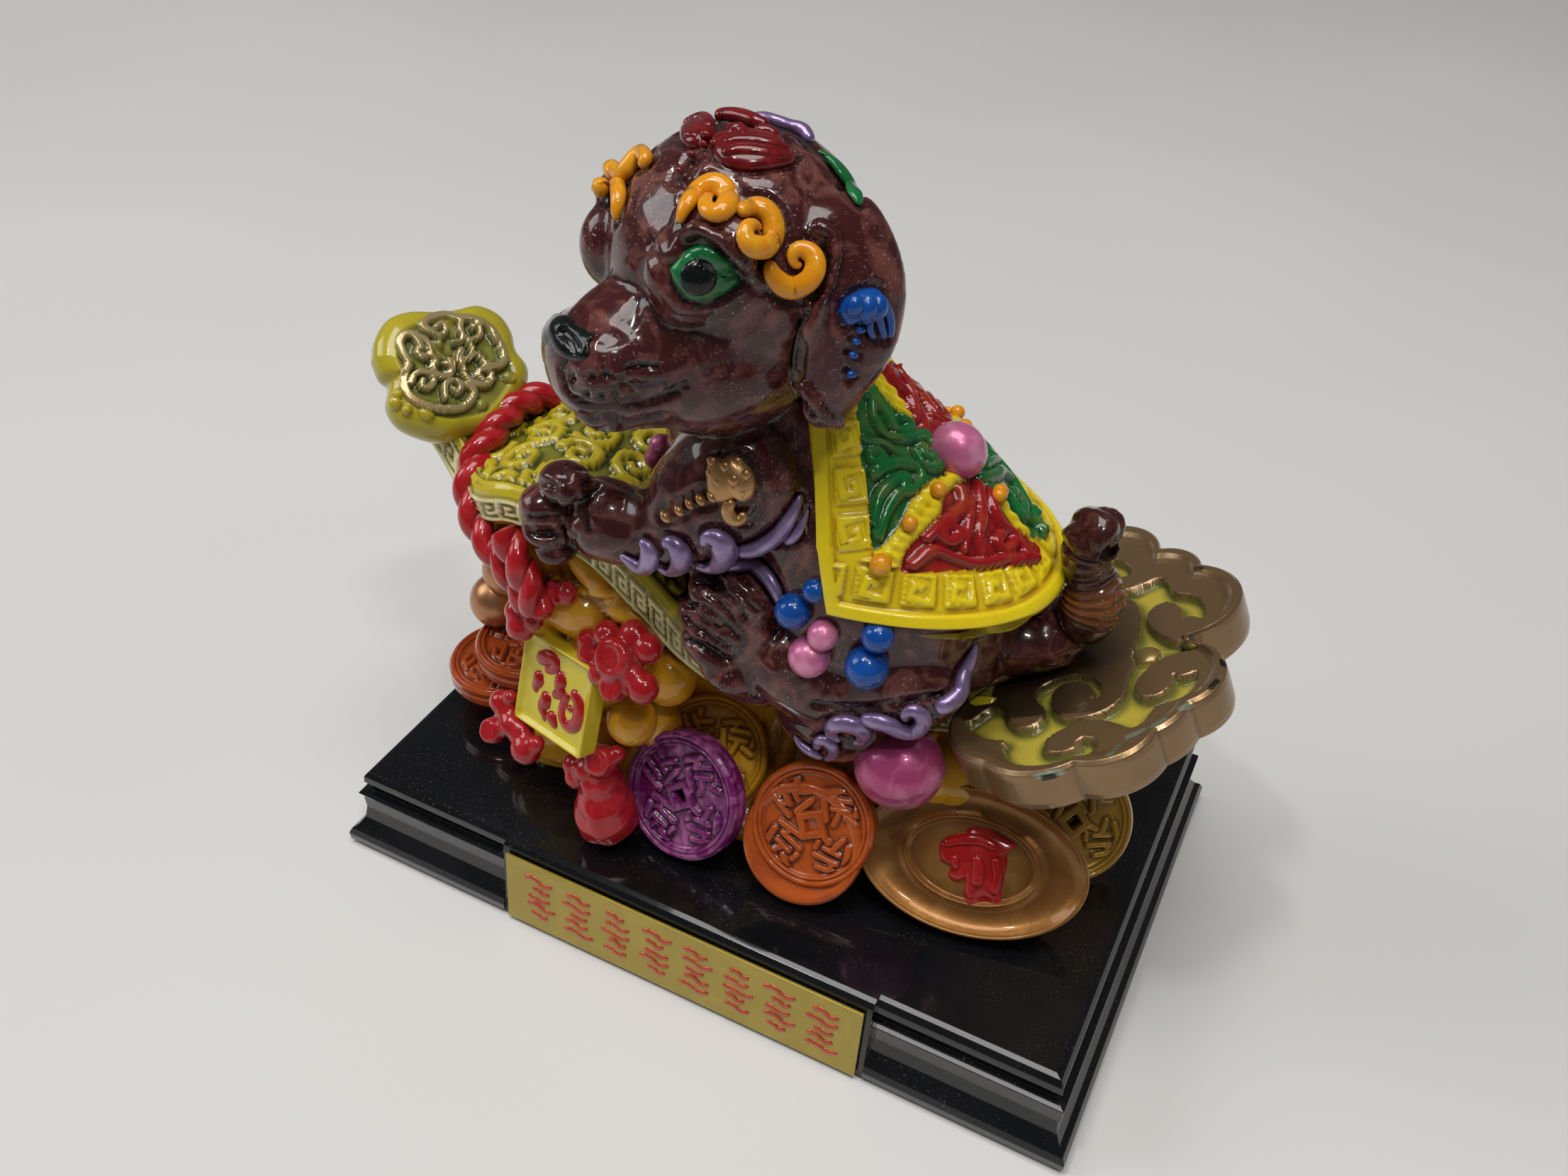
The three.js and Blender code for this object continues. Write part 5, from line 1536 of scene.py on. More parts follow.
@dataclass
class Sceptre:
    """The big ruyi sceptre: shaft, head and tail plate."""

    stations: tuple[tuple[float, ...], ...] = (
        (-54, 0, 53, 4.4, 2.4), (-50.6, -0.2, 50, 5.6, 2.8), (-47, -0.6, 47.6, 8, 3),
        (-44, -0.9, 47, 10.8, 3), (-41, -1, 47.6, 13, 3), (-35.5, -1, 49.4, 14.6, 3),
        (-29, -1, 48.6, 15.6, 3), (-23, -1, 45.6, 15.6, 3), (-17, -1, 39.8, 15.6, 3), (-10, -1, 31.6, 15, 3),
        (-3, -1, 25.6, 12.6, 3), (8, 0, 22.5, 9, 3.4), (20, 0, 23, 9, 3.4), (32, 0, 26, 9, 3.0),
    )
    slope: float = math.radians(24)
    fret_pitch: float = 3.7
    curl_pitch: float = 7.2
    curl_rows: float = 6.0
    head_middle: Triple = (-52.6, -0.6, 57.2)
    head_normal: Triple = (0.62, -0.28, 0.73)
    plate_middle: Triple = (43.1, 0, 35.35)

    FIELD = (
        (95, 1088), (150, 1046), (220, 1003), (285, 1015), (302, 1064), (348, 1097), (408, 1090),
        (454, 1056), (466, 1004), (436, 972), (428, 938), (462, 898), (540, 863), (622, 851), (702, 866),
        (740, 904), (726, 950), (692, 964), (704, 926), (676, 892), (618, 880), (550, 896), (508, 936),
        (502, 990), (524, 1026), (580, 1048), (646, 1048), (724, 1028), (802, 984), (848, 928), (862, 862),
        (886, 800), (880, 764), (902, 718), (940, 690), (1040, 712), (1130, 704), (1230, 690), (1250, 704),
        (1190, 722), (1104, 741), (1014, 776), (946, 826), (900, 880), (896, 918), (932, 948), (992, 946),
        (1046, 914), (1068, 872), (1076, 842), (1120, 852), (1190, 832), (1186, 880), (1150, 930),
        (1080, 966), (1002, 990), (962, 1030), (932, 1070), (880, 1094), (830, 1080), (752, 1060),
        (664, 1062), (572, 1094), (500, 1130), (468, 1172), (480, 1206), (540, 1213), (610, 1190),
        (636, 1146), (690, 1143), (712, 1166), (690, 1206), (622, 1250), (530, 1283), (430, 1291),
        (330, 1273), (285, 1236), (268, 1182), (282, 1158), (200, 1146), (140, 1122),
    )
    OUTLINE = (
        (76, 333), (86, 248), (135, 164), (227, 129), (339, 129), (431, 122), (536, 101), (635, 143),
        (691, 220), (712, 305), (762, 375), (765, 446), (719, 530), (663, 600), (579, 671), (480, 685),
        (396, 700), (283, 674), (191, 624), (142, 544), (149, 446), (107, 403),
    )
    HEAD_BANDS = (
        (((290, 276), (262, 232), (222, 228), (200, 262), (216, 312), (240, 356), (222, 408), (222, 456),
          (248, 502), (306, 536), (392, 556), (478, 546), (520, 508), (524, 470), (492, 448)), 0.52),
        (((330, 214), (300, 188), (336, 158), (400, 146), (450, 156), (520, 160), (584, 190), (622, 236),
          (652, 292), (660, 344), (626, 370), (582, 356), (548, 318)), 0.52),
        (((262, 232), (310, 250), (336, 300), (306, 330), (276, 306), (296, 286)), 0.42),
        (((330, 214), (376, 234), (406, 205), (386, 182), (360, 196)), 0.42),
        (((470, 166), (470, 220), (510, 250), (552, 236), (550, 200), (520, 196)), 0.42),
        (((436, 262), (490, 256), (522, 300), (500, 336), (460, 326), (472, 296)), 0.44),
        (((362, 336), (350, 390), (386, 415), (426, 400), (426, 366), (398, 356)), 0.44),
        (((250, 440), (270, 400), (320, 396), (350, 430), (330, 464), (296, 456), (302, 430)), 0.42),
        (((420, 340), (470, 360), (490, 410), (540, 450), (590, 446), (606, 405), (572, 380), (546, 400),
          (562, 422)), 0.44),
        (((400, 506), (400, 450), (440, 430), (472, 456), (452, 482), (430, 466)), 0.42),
    )
    CHIPS = (
        (((448, 1350), (500, 1340), (565, 1333)), (0.33, 0.42, 0.3)),
        (((470, 1362), (520, 1352)), (0.02, 0.03, 0.03)),
        (((780, 1250), (826, 1212)), (0.3, 0.36, 0.26)),
        (((868, 1168), (940, 1136), (1042, 1082)), (0.33, 0.42, 0.3)),
        (((1118, 1030), (1168, 1018)), (0.42, 0.48, 0.33)),
        (((1316, 806), (1322, 826)), (0.02, 0.02, 0.02)),
        (((1262, 930), (1290, 900)), (0.03, 0.03, 0.025)),
        (((1192, 376), (1214, 372)), (0.05, 0.045, 0.03)),
    )

    def shaft(self) -> None:
        """The curved flat shaft with a keyed edge and a scrolled face."""
        path = smooth_path(self.stations, 160)
        along = unit(np.gradient(path[:, :3], axis=0) * [1, 0, 1])
        over = np.stack([-along[:, 2], np.zeros(160), along[:, 0]], 1)
        steps = np.linspace(0, 1, 160)

        def station(v: Array) -> tuple[Array, Array]:
            """The stations and the face's direction at shares."""
            return sampled(v, steps, path), sampled(v, steps, over)

        def place(u: Array, v: Array) -> Array:
            """Points round the shaft's flat section."""
            pick, up = station(v)
            ends = drawn_in(v)
            turn = [0, 0.05, 0.07, 0.6, 0.62, 0.73, 0.75, 0.9, 0.92, 1]
            wide = np.interp(u, turn, [1, 1, 0.96, -0.96, -1, -1, -0.96, 0.96, 1, 1])
            high = np.interp(u, turn, [0, 0.7, 1, 1, 0.7, -0.7, -1, -1, -0.7, 0])
            across = np.array([0.0, 1.0, 0.0])
            aside, lifted = (wide * pick[:, 3] * ends)[:, None], (high * pick[:, 4] * ends)[:, None]
            return pick[:, :3] + aside * across + lifted * up

        clay = Clay(wrapped(190, 300, place))
        where = clay.points
        run = run_along(path[:, :3])
        nearest = np.abs(where[:, None, [0]] - path[None, :, [0]])[:, :, 0].argmin(1)
        s, half = run[nearest], path[nearest, 3]
        height = ((where - path[nearest, :3]) * over[nearest]).sum(1)
        across = where[:, 1] - path[nearest, 1]
        inset = half - np.abs(across)
        top = (height > 1.9) & (inset > 0.5)
        edge = np.abs(height) < 2.2
        spread = np.stack([s, height, 0 * s], 1)
        fret = np.zeros(len(where))
        cell = [(0.0, -1.5), (0.0, 1.5), (2.9, 1.5), (2.9, -0.5), (1.4, -0.5), (1.4, 0.5), (2.1, 0.5)]
        link = [(0.0, -1.5), (self.fret_pitch, -1.5)]
        for i in range(int(run[-1] / self.fret_pitch) + 1):
            for line in (cell, link):
                corners = np.array(line) + [i * self.fret_pitch, 0]
                count = 14 * (len(line) - 1) + 1
                dense = sampled(np.linspace(0, len(line) - 1, count), range(len(line)), corners)
                line_on_edge = Ridge(np.hstack([dense, np.zeros((count, 1))]), np.full(count, 0.36), 0.5, 0.1)
                fret = np.maximum(fret, line_on_edge.lift(spread))
        side = edge & (inset < 1.2)
        rise = np.where(side, fret, 0.0)
        lift = np.zeros(len(where))
        flat = np.stack([s, across, 0 * s], 1)
        for i in range(12):
            for j in range(-2, 3):
                centre_s = 4.0 + i * self.curl_pitch
                centre_y = (j + 0.5 * (i % 2)) * self.curl_rows
                spiral = coil(centre_s, centre_y, 3.3, i * 1.3 + j, 1.25 if (i + j) % 2 else -1.25, 40)
                lift = np.maximum(lift, Ridge(spiral, np.linspace(0.95, 0.75, 40), 0.95).lift(flat))
        rise = np.where(top & (inset > 2.0), lift, rise)
        rise += np.where(top, 0.5 * np.clip(1 - np.abs(inset - 1.2) / 0.8, 0, 1), 0)
        tones = np.tile([0.5, 0.4, 0.02], (len(where), 1))
        tones[side] = (0.36, 0.29, 0.02)
        tones[side & (fret > 0.25)] = (0.8, 0.74, 0.38)
        tones[top & (inset > 2.0) & (lift < 0.2)] = (0.2, 0.19, 0.02)
        clay.paint(tones)
        clay.push(rise)
        clay.hollows(8, 0.2, 0.7 * side)
        clay.wear("sceptre_shaft", Paint.OLIVE_PAINTED)

    def head(self) -> None:
        """The sceptre's head: a thick cushion with the outline in the photo, raised bands and knobs."""
        centre, normal = self.head_middle, self.head_normal
        matrix = facing(centre, normal, (-0.2, 1, 0.3))
        back = matrix.inverted()
        drawn = SCEPTRE_VIEW.spots(smooth_path([*self.OUTLINE, self.OUTLINE[0]], 240)[:-1])
        rim_line = moved(back, np.array([EYE.on_plane(spot, centre, normal) for spot in drawn]))[:, :2]
        turns = np.arctan2(rim_line[:, 1], rim_line[:, 0])
        reaches = 0.985 * np.hypot(rim_line[:, 0], rim_line[:, 1])
        profile = smooth_path([(0.0, 3.0), (0.5, 3.1), (0.8, 2.7), (0.95, 1.6), (1.0, 0.2), (0.99, -1.4),
                               (0.93, -2.6), (0.8, -3.4), (0.4, -3.7), (0.0, -3.7)], 90)

        def place(u: Array, v: Array) -> Array:
            """Points of the cushion from its face to its back."""
            share, level = sampled(v, np.linspace(0, 1, 90), profile).T
            angle = 2 * math.pi * u
            reach = np.interp(angle, turns, reaches, period=2 * math.pi) * share
            return moved(matrix, np.stack([reach * np.cos(angle), reach * np.sin(angle), level], 1))

        clay = Clay(wrapped(300, 200, place))
        tree = clay.tree()
        bands, knobs = [], []
        for line, wide in self.HEAD_BANDS:
            path = smooth_path(line, 12 * len(line))
            points, _ = SCEPTRE_VIEW.lay(path, tree)
            bands.append(Ridge(points, np.full(len(path), wide * 1.2), 0.65, 0.15))
        for x, y, r in ((375, 265, 0.7), (180, 528, 0.95), (322, 572, 1.1), (566, 534, 1.0), (686, 412, 1.0),
                        (190, 492, 0.8), (232, 560, 0.7)):
            dot, _ = SCEPTRE_VIEW.lay([(x, y)], tree)
            knobs.append(Ridge(dot, np.array([r]), 0.8))
        where = clay.points
        raised = np.stack([ridge.lift(where) for ridge in bands]).max(0)
        knob = np.stack([ridge.lift(where) for ridge in knobs]).max(0)
        local = moved(back, where)
        edge = np.interp(np.arctan2(local[:, 1], local[:, 0]), turns, reaches, period=2 * math.pi)
        reach = np.hypot(local[:, 0], local[:, 1]) / edge
        face = ease((0.78 - reach) / 0.08) * (local[:, 2] > 0)
        clay.push(np.maximum(raised, knob) - 0.45 * face * (raised < 0.05))
        share = ease((raised - 0.2) / 0.3)[:, None]
        rim = np.array([0.42, 0.35, 0.02])
        field_tone = np.array([0.24, 0.24, 0.04])
        base = rim * (1 - face[:, None]) + field_tone * face[:, None]
        clay.paint(base * (1 - share) + share * np.array([0.43, 0.34, 0.16]))
        clay.gild(share[:, 0] * 0.6)
        clay.hollows(8, 0.3)
        clay.wear("sceptre_head", Paint.OLIVE_PAINTED)

    def plate(self) -> None:
        """The tail plate: a cloud outline with a raised rim and long curls on a sunk field."""
        normal = (-math.sin(self.slope), 0, math.cos(self.slope))
        matrix = facing(self.plate_middle, normal, (math.cos(self.slope), 0, math.sin(self.slope)))
        lobes = [(-9.5, -12.4, 9.6), (-5.5, -14.6, 9.7), (2, -15, 8), (6, -11, 7.4), (10.5, -6.5, 6.8),
                 (9.8, 9.6, 8.5), (6.2, 17.2, 6), (-2.8, 22.8, 8.6), (-8, 16, 7), (-1, 0, 13)]
        profile = [(0.0, -0.9), (0.86, -0.9), (0.9, -0.55), (0.93, -0.05), (0.97, 0.0), (0.995, -0.5),
                   (1.0, -1.4), (1.0, -5.2), (0.99, -6.2), (0.96, -6.6), (0.0, -6.6)]
        steps = np.array([0, 0.5, 0.54, 0.58, 0.62, 0.66, 0.7, 0.8, 0.84, 0.87, 1.0])

        def place(u: Array, v: Array) -> Array:
            """Points of the plate from its face to its back."""
            share, level = sampled(v, steps, np.array(profile)).T
            angle = 2 * math.pi * u
            reach = cloud_reach(lobes, angle) * share
            return moved(matrix, np.stack([reach * np.cos(angle), reach * np.sin(angle), level], 1))

        clay = Clay(wrapped(330, 190, place))
        back = matrix.inverted()
        local = moved(back, clay.points)
        spots = smooth_path([*self.FIELD, self.FIELD[0]], 700)[:-1]
        laid = np.array([EYE.on_plane(spot, self.plate_middle, normal) for spot in PLATE_VIEW.spots(spots)])
        near = moved(back, laid)[:, :2]
        far = near * [1, -1.06]
        depth = np.maximum(inside(near, local[:, :2]), inside(far, local[:, :2]))
        face = (local[:, 2] > -1.6) & (clay.normals @ np.array(normal) > 0.5)
        sunk = ease((depth + 0.12) / 0.5) * face
        stud = Ridge(np.array([[6.2, -0.6, 0.0]]), np.array([1.9]), 2.4).lift(local * [1, 1, 0])
        clay.push(np.where(face & (stud < 0.01), -1.3 * sunk, 0) + (stud * 0.42 - 0.9) * (stud > 0) * face)
        bronze, lemon = np.array([0.3, 0.19, 0.095]), np.array([0.44, 0.36, 0.045])
        # Painted shadow: the sunk field is a darker olive next to its raised walls and lemon in its middle.
        field_edge_shadow = np.array([0.17, 0.16, 0.03])
        middle = ease((depth - 0.25) / 1.6)[:, None]
        share = ease((sunk - 0.35) / 0.3)[:, None]
        shade = ease((12 - local[:, 0] - 0.2 * np.abs(local[:, 1])) / 16)[:, None]
        under_tail = (face * (np.abs(local[:, 1]) < 12))[:, None]
        bronze = bronze * (1 - shade * 0.72 * under_tail)
        share = np.where(stud[:, None] > 0.6, 0.25, share)
        colours = (1 - share) * bronze + share * ((1 - middle) * field_edge_shadow + middle * lemon)
        for line, tone in self.CHIPS:
            points, _ = PLATE_VIEW.lay(smooth_path(line, 40), clay.tree())
            worn = Ridge(points, np.full(40, 0.42), 1.0).lift(clay.points)
            colours[worn > 0.25] = tone
        clay.paint(colours)
        clay.gild((1 - share)[:, 0])
        clay.hollows(6, 0.35)
        clay.wear("tail_plate", Paint.PLATE)

    def build(self) -> None:
        """Builds the sceptre's pieces."""
        self.shaft()
        self.head()
        self.plate()


# Rope, knots, plaque and tassel


@dataclass
class Tassel:
    """The red rope with its knots, the plaque that hangs from it, and the gourd below."""

    radius: float = 2.1
    twist: float = 9.0
    plaque_half: float = 7.1
    plaque_depth: float = 3.6
    plaque_rim: float = 1.5
    plaque_sink: float = 0.9

    KNOTS = (
        ((-29.6, -21, 35.6), ((520, 130, 62, 1), (560, 60, 50, 0), (380, 60, 46, 0), (370, 150, 44, 0),
                              (440, 110, 60, 0), (380, 230, 58, 0), (450, 20, 50, 0), (620, 60, 44, 0),
                              (450, 200, 40, 0))),
        ((-19.2, -22.4, 31.6), ((900, 388, 104, 1), (735, 300, 46, 0), (735, 375, 52, 0), (830, 268, 52, 0),
                                (960, 272, 56, 0), (1025, 345, 56, 0), (800, 470, 50, 0), (880, 545, 66, 1),
                                (1000, 545, 60, 0), (960, 480, 50, 0))),
        ((-36, -21.5, 17.6), ((268, 758, 68, 1), (290, 615, 50, 0), (320, 670, 50, 0), (350, 590, 30, 0),
                              (410, 855, 62, 0), (380, 770, 54, 0), (345, 730, 50, 0), (470, 830, 36, 0))),
        ((-22.2, -24.4, 14.4), ((820, 912, 80, 1), (655, 930, 44, 0), (665, 1000, 46, 0), (730, 960, 56, 0),
                                (770, 870, 40, 0), (880, 880, 34, 0))),
    )

    def strand(self, line: Sequence[Triple]) -> Form:
        """A twisted rope of two strands along a line, as one lobed skin."""
        path = smooth_path(line, 260)
        along = unit(np.gradient(path, axis=0))
        side = np.zeros_like(path)
        side[0] = unit(np.cross(along[0], [0.3, 0.8, 0.5]))
        for i in range(1, len(path)):
            side[i] = unit(side[i - 1] - along[i] * (side[i - 1] @ along[i]))
        other = np.cross(along, side)
        run = run_along(path)
        steps = np.linspace(0, 1, 260)

        def place(u: Array, v: Array) -> Array:
            """Points round the two strands."""
            pick = [sampled(v, steps, rows) for rows in (path, side, other)]
            s = np.interp(v, steps, run)
            ends = np.sqrt(np.clip(np.minimum(v, 1 - v) * 30, 0, 1))
            angle = 2 * math.pi * u
            lobe = np.abs(np.cos(angle - 2 * math.pi * s / self.twist))
            r = self.radius * (0.72 + 0.42 * lobe**0.8) * ends
            return pick[0] + (r * np.cos(angle))[:, None] * pick[1] + (r * np.sin(angle))[:, None] * pick[2]

        return wrapped(48, 260, place)

    def knot(self, centre: Triple, lobes: Sequence[tuple[float, float, float, int]]) -> list[Form]:
        """A carved bow of round lobes, some of them rings with a sunk middle, at spots of the photograph.

        Args:
            centre: a point of the plane that the lobes lie in.
            lobes: x, y and radius of each in the jewel view's pixels, and 1 for a ring.

        Returns:
            The lobes.
        """
        normal = Vector((-0.3, -0.8, 0.52)).normalized()
        parts = []
        for index, (x, y, r, ring) in enumerate(lobes):
            radius = r / JEWEL_VIEW.zoom * (0.1 if ring else 0.13)
            back = 0.0 if ring else 0.3 * radius + 0.25 * (index % 3)
            spot = EYE.on_plane(JEWEL_VIEW.spots([(x, y)])[0], centre, normal) - normal * back
            sizes = (radius * (0.75 if ring else 1.0), radius * 1.08, radius * 1.08)
            parts.append(egg(tuple(spot - normal * radius * 0.15), sizes, tuple(normal)))
            if ring:
                matrix = facing(spot, normal)
                loop = np.array([matrix @ (Vector((math.cos(a), math.sin(a), 0.5)) * radius * 0.74)
                                 for a in np.linspace(0, 2 * math.pi, 60)])
                wide = np.full(60, radius * 0.27)
                parts.append(tube(loop, np.tile([list(normal)], (60, 1)), wide, wide, 14, 0.0))
        return parts

    def plaque(self) -> None:
        """The yellow plaque with a raised rim and red strokes."""
        matrix = facing((-28.6, -21.6, 23.5), (-0.39, -0.86, 0.32), (0.92, -0.39, 0.05))
        side = 2 * self.plaque_half
        block = Matrix.Translation((0, 0, -0.8)) @ Matrix.Diagonal((side, side, self.plaque_depth, 1))
        bm = bmesh.new()
        bmesh.ops.create_cube(bm, size=1.0)
        bmesh.ops.transform(bm, matrix=block, verts=bm.verts)
        top = [face for face in bm.faces if face.normal.z > 0.9]
        bmesh.ops.inset_region(bm, faces=top, thickness=self.plaque_rim)
        bmesh.ops.translate(bm, vec=(0, 0, -self.plaque_sink), verts=top[0].verts)
        bmesh.ops.bevel(bm, geom=bm.edges, affect="EDGES", offset=0.45, segments=3, profile=0.5, material=-1)
        bmesh.ops.subdivide_edges(bm, edges=bm.edges, cuts=11, use_grid_fill=True)
        bmesh.ops.transform(bm, matrix=matrix, verts=bm.verts)
        Clay(bm).wear("plaque", Paint.PLAQUE, 0.2)
        strokes = [
            [(-4.6, 3.2), (-3.2, 3.8), (-1.6, 4.6), (-0.6, 4.0), (-1.6, 2.8), (-3.0, 2.6)],
            [(-4.4, 1.4), (-3.4, 0.4), (-3.9, -0.8), (-3.2, -1.8)],
            [(-0.4, 2.0), (0.6, 2.8), (0.4, 1.2), (1.2, 0.4), (0.0, -0.2), (-0.6, -1.0)],
            [(-2.2, -0.6), (-1.6, -2.0), (-2.2, -3.2), (-1.4, -4.4), (-2.0, -5.0)],
            [(-0.8, -3.0), (0.2, -4.2), (1.2, -5.2)],
            [(2.4, 1.6), (4.0, 1.0), (4.6, -0.8), (4.2, -2.8), (2.8, -3.6), (1.6, -2.6), (1.6, -0.8),
             (2.4, 1.2)],
            [(2.9, -0.2), (3.0, -1.6)],
        ]
        parts = []
        for line in strokes:
            path = smooth_path([(*(matrix @ Vector((1.1 * x, 1.04 * y, -0.35))), 1.25) for x, y in line], 40)
            over = np.tile([list(matrix.to_3x3() @ Vector((0, 0, 1)))], (40, 1))
            wide = path[:, 3] * np.interp(np.linspace(0, 1, 40), [0, 0.3, 0.7, 1], [0.9, 1.1, 0.8, 0.7])
            parts.append(tube(path[:, :3], over, wide, wide * 0.8))
        Clay.of(parts).wear("plaque_strokes", Paint.RED)

    def build(self) -> None:
        """Builds the rope's pieces."""
        loop = [(-37, 12.5, 46), (-39.6, 10.6, 50.4), (-42.6, 7, 52.8), (-44.4, 2, 53.2), (-45, -2.4, 52.2),
                (-45.4, -6.4, 50.8), (-45.3, -9.6, 48.6), (-44.1, -12.2, 45.8), (-41.4, -14.4, 42.8),
                (-37.6, -16.4, 41), (-34, -18.4, 38.2), (-31.4, -19.8, 35.4)]
        second = [(-36.8, -16.6, 47), (-33.6, -18.8, 43), (-31.5, -20, 39), (-30.4, -20.6, 36.6)]
        Clay.of([self.strand(loop), self.strand(second)]).wear("rope", Paint.ROPE, 0.3)
        knots = [part for centre, lobes in self.KNOTS for part in self.knot(centre, lobes)]
        Clay.fused(knots, 0.33, 7).wear("rope_knots", Paint.ROPE, 0.2)
        self.plaque()
        profile = smooth_path([(0, -4.6), (2.4, -4.4), (4.2, -2.8), (4.6, -0.4), (4.2, 2.0), (3.4, 4.4),
                               (3.0, 6.6), (2.4, 8.2), (0, 9.2)], 90)
        bag = Clay(turned(profile.tolist(), facing((-20.8, -24.6, 4.9), (-0.16, 0.16, 1), (1, 0, 0))))
        where = bag.points
        x, y, z = where.T
        bag.push(0.1 * np.sin(x * 1.7 + z * 0.9) + 0.08 * np.sin(z * 2.3 - y))
        bag.wear("gourd", Paint.ROPE)


# Coins, ingots and the heap


@dataclass
class Treasure:
    """The coins, ingots and balls, and the amber heap that carries them."""

    thickness: float = 3.4
    drawn_radius: float = 9.4
    strokes: tuple[tuple[tuple[Pair, Pair], float], ...] = (
        (((-2.3, 2.2), (1.5, 2.5)), 0.62), (((-1.0, 1.1), (2.4, 0.8)), 0.6),
        (((-2.4, 0.8), (-2.2, -2.0)), 0.68), (((-1.1, -0.3), (1.3, -0.6)), 0.56),
        (((0.1, -0.6), (-1.0, -2.7)), 0.62), (((0.9, -1.6), (2.3, -2.5)), 0.66),
        (((2.6, -0.2), (2.4, -1.2)), 0.6), (((-0.4, 2.2), (-0.6, 1.0)), 0.56),
    )

    def coin(self, centre: Triple, normal: Triple, radius: float, turn: float = 0.0) -> Clay:
        """A coin with a raised rim, a framed square eye and raised marks that spell nothing.

        Args:
            centre: its middle.
            normal: where its face looks.
            radius: its radius.
            turn: how far its marks are turned on it.

        Returns:
            The coin.
        """
        half = self.thickness / 2
        floor = half - 0.7
        profile = [(0.0, floor), (0.78, floor), (0.82, floor + 0.2), (0.84, half - 0.12), (0.87, half - 0.1),
                   (0.885, half - 0.35), (0.91, half - 0.02), (0.95, half + 0.05), (1.0, half - 0.5),
                   (0.985, 0.2), (1.0, -0.3), (1.0, -half + 0.5), (0.97, -half), (0.0, -half)]
        steps = [0, 0.46, 0.5, 0.53, 0.56, 0.59, 0.62, 0.66, 0.71, 0.76, 0.79, 0.84, 0.88, 1.0]

        def place(u: Array, v: Array) -> Array:
            """Points of the coin from its face to its back."""
            share, level = sampled(v, steps, np.array(profile)).T
            reach, angle = radius * share, 2 * math.pi * u
            return np.stack([reach * np.cos(angle), reach * np.sin(angle), level], 1)

        clay = Clay(wrapped(150, 100, place))
        where = clay.points
        flat = where * [1, 1, 0]
        c, s = math.cos(turn), math.sin(turn)
        p, q = where[:, 0] * c + where[:, 1] * s, where[:, 1] * c - where[:, 0] * s
        square = np.maximum(np.abs(p), np.abs(q))
        eye = radius * 0.105
        lift = 0.75 * ease((eye + 1.15 - square) / 0.25) - 2.1 * ease((eye - square) / 0.25)
        scale = radius / self.drawn_radius
        for quarter in range(4):
            angle = quarter * math.pi / 2 + turn + 0.4
            c, s = math.cos(angle), math.sin(angle)
            lean_c, lean_s = math.cos(1.9 * quarter), math.sin(1.9 * quarter)
            lean = np.array([[lean_c, lean_s], [-lean_s, lean_c]])
            for line, wide in self.strokes:
                spots = smooth_path(line, 16) @ lean * scale + [5.2 * scale, 0]
                mark = np.stack([spots[:, 0] * c - spots[:, 1] * s, spots[:, 0] * s + spots[:, 1] * c,
                                 np.zeros(16)], 1)
                lift = np.maximum(lift, Ridge(mark, np.full(16, wide * scale), 0.62, 0.3).lift(flat))
        deep = ease((eye - square) / 0.25)
        lift = np.where(deep > 0, 0.75 - 2.4 * deep, lift)
        face = where[:, 2] > floor - 0.05
        where[:, 2] += np.where(face & (np.hypot(where[:, 0], where[:, 1]) < radius * 0.78), lift, 0)
        clay.points = where
        clay.mesh.transform(facing(centre, normal))
        return clay

    def disc(self, centre: Triple, normal: Triple, radius: float) -> Clay:
        """A plain coin with rounded edges."""
        half = self.thickness / 2
        profile = [(0, -half), (radius - 0.4, -half), (radius, -half + 0.4), (radius, half - 0.4),
                   (radius - 0.3, half), (radius - 1.2, half), (radius - 1.6, half - 0.5), (0, half - 0.5)]
        return Clay(turned(profile, facing(centre, normal), 72))

    def ingot(self, centre: Triple, normal: Triple, name: str) -> None:
        """An oval ingot dish with a rolled rim, and an abstract relief on the near one."""
        matrix = facing(centre, normal)
        profile = smooth_path([(0.0, -0.6), (0.3, -0.7), (0.5, -0.85), (0.555, -0.45), (0.58, -0.1),
                               (0.61, -0.4), (0.7, -0.75), (0.84, -0.4), (0.93, 0.3), (0.975, 0.75),
                               (1.0, 0.35), (0.985, -0.9), (0.85, -3.2), (0.55, -5.0), (0.0, -5.6)], 120)

        def place(u: Array, v: Array) -> Array:
            """Points of the dish from its face to its back."""
            share, level = sampled(v, np.linspace(0, 1, 120), profile).T
            x, y = 10.4 * share * np.cos(2 * math.pi * u), 16.2 * share * np.sin(2 * math.pi * u)
            return moved(matrix, np.stack([x, y, level], 1))

        clay = Clay(wrapped(160, 130, place))
        tree = clay.tree()
        clay.wear(name, Paint.INGOT)
        if name == "ingot":
            relief = [(735, 604), (752, 580), (826, 566), (860, 530), (940, 544), (1000, 574), (1045, 608),
                      (1006, 626), (1002, 680), (984, 760), (970, 830), (905, 820), (852, 838), (832, 790),
                      (836, 736), (802, 748), (770, 722), (788, 672), (742, 664)]
            folds = [[(760, 600, 18), (830, 585, 22), (900, 590, 20), (960, 620, 16)],
                     [(880, 640, 18), (890, 700, 22), (880, 760, 20)], [(800, 640, 16), (806, 700, 16)],
                     [(950, 650, 18), (960, 720, 18), (940, 790, 14)]]
            base = Clay(boss(INGOT_VIEW, relief, tree, 0.9))
            carried = base.tree()
            base.wear("ingot_relief", Paint.RED)
            creases = Clay.of([vine(INGOT_VIEW, fold, carried, 0.2, 0.6) for fold in folds])
            creases.wear("ingot_folds", Paint.RED)

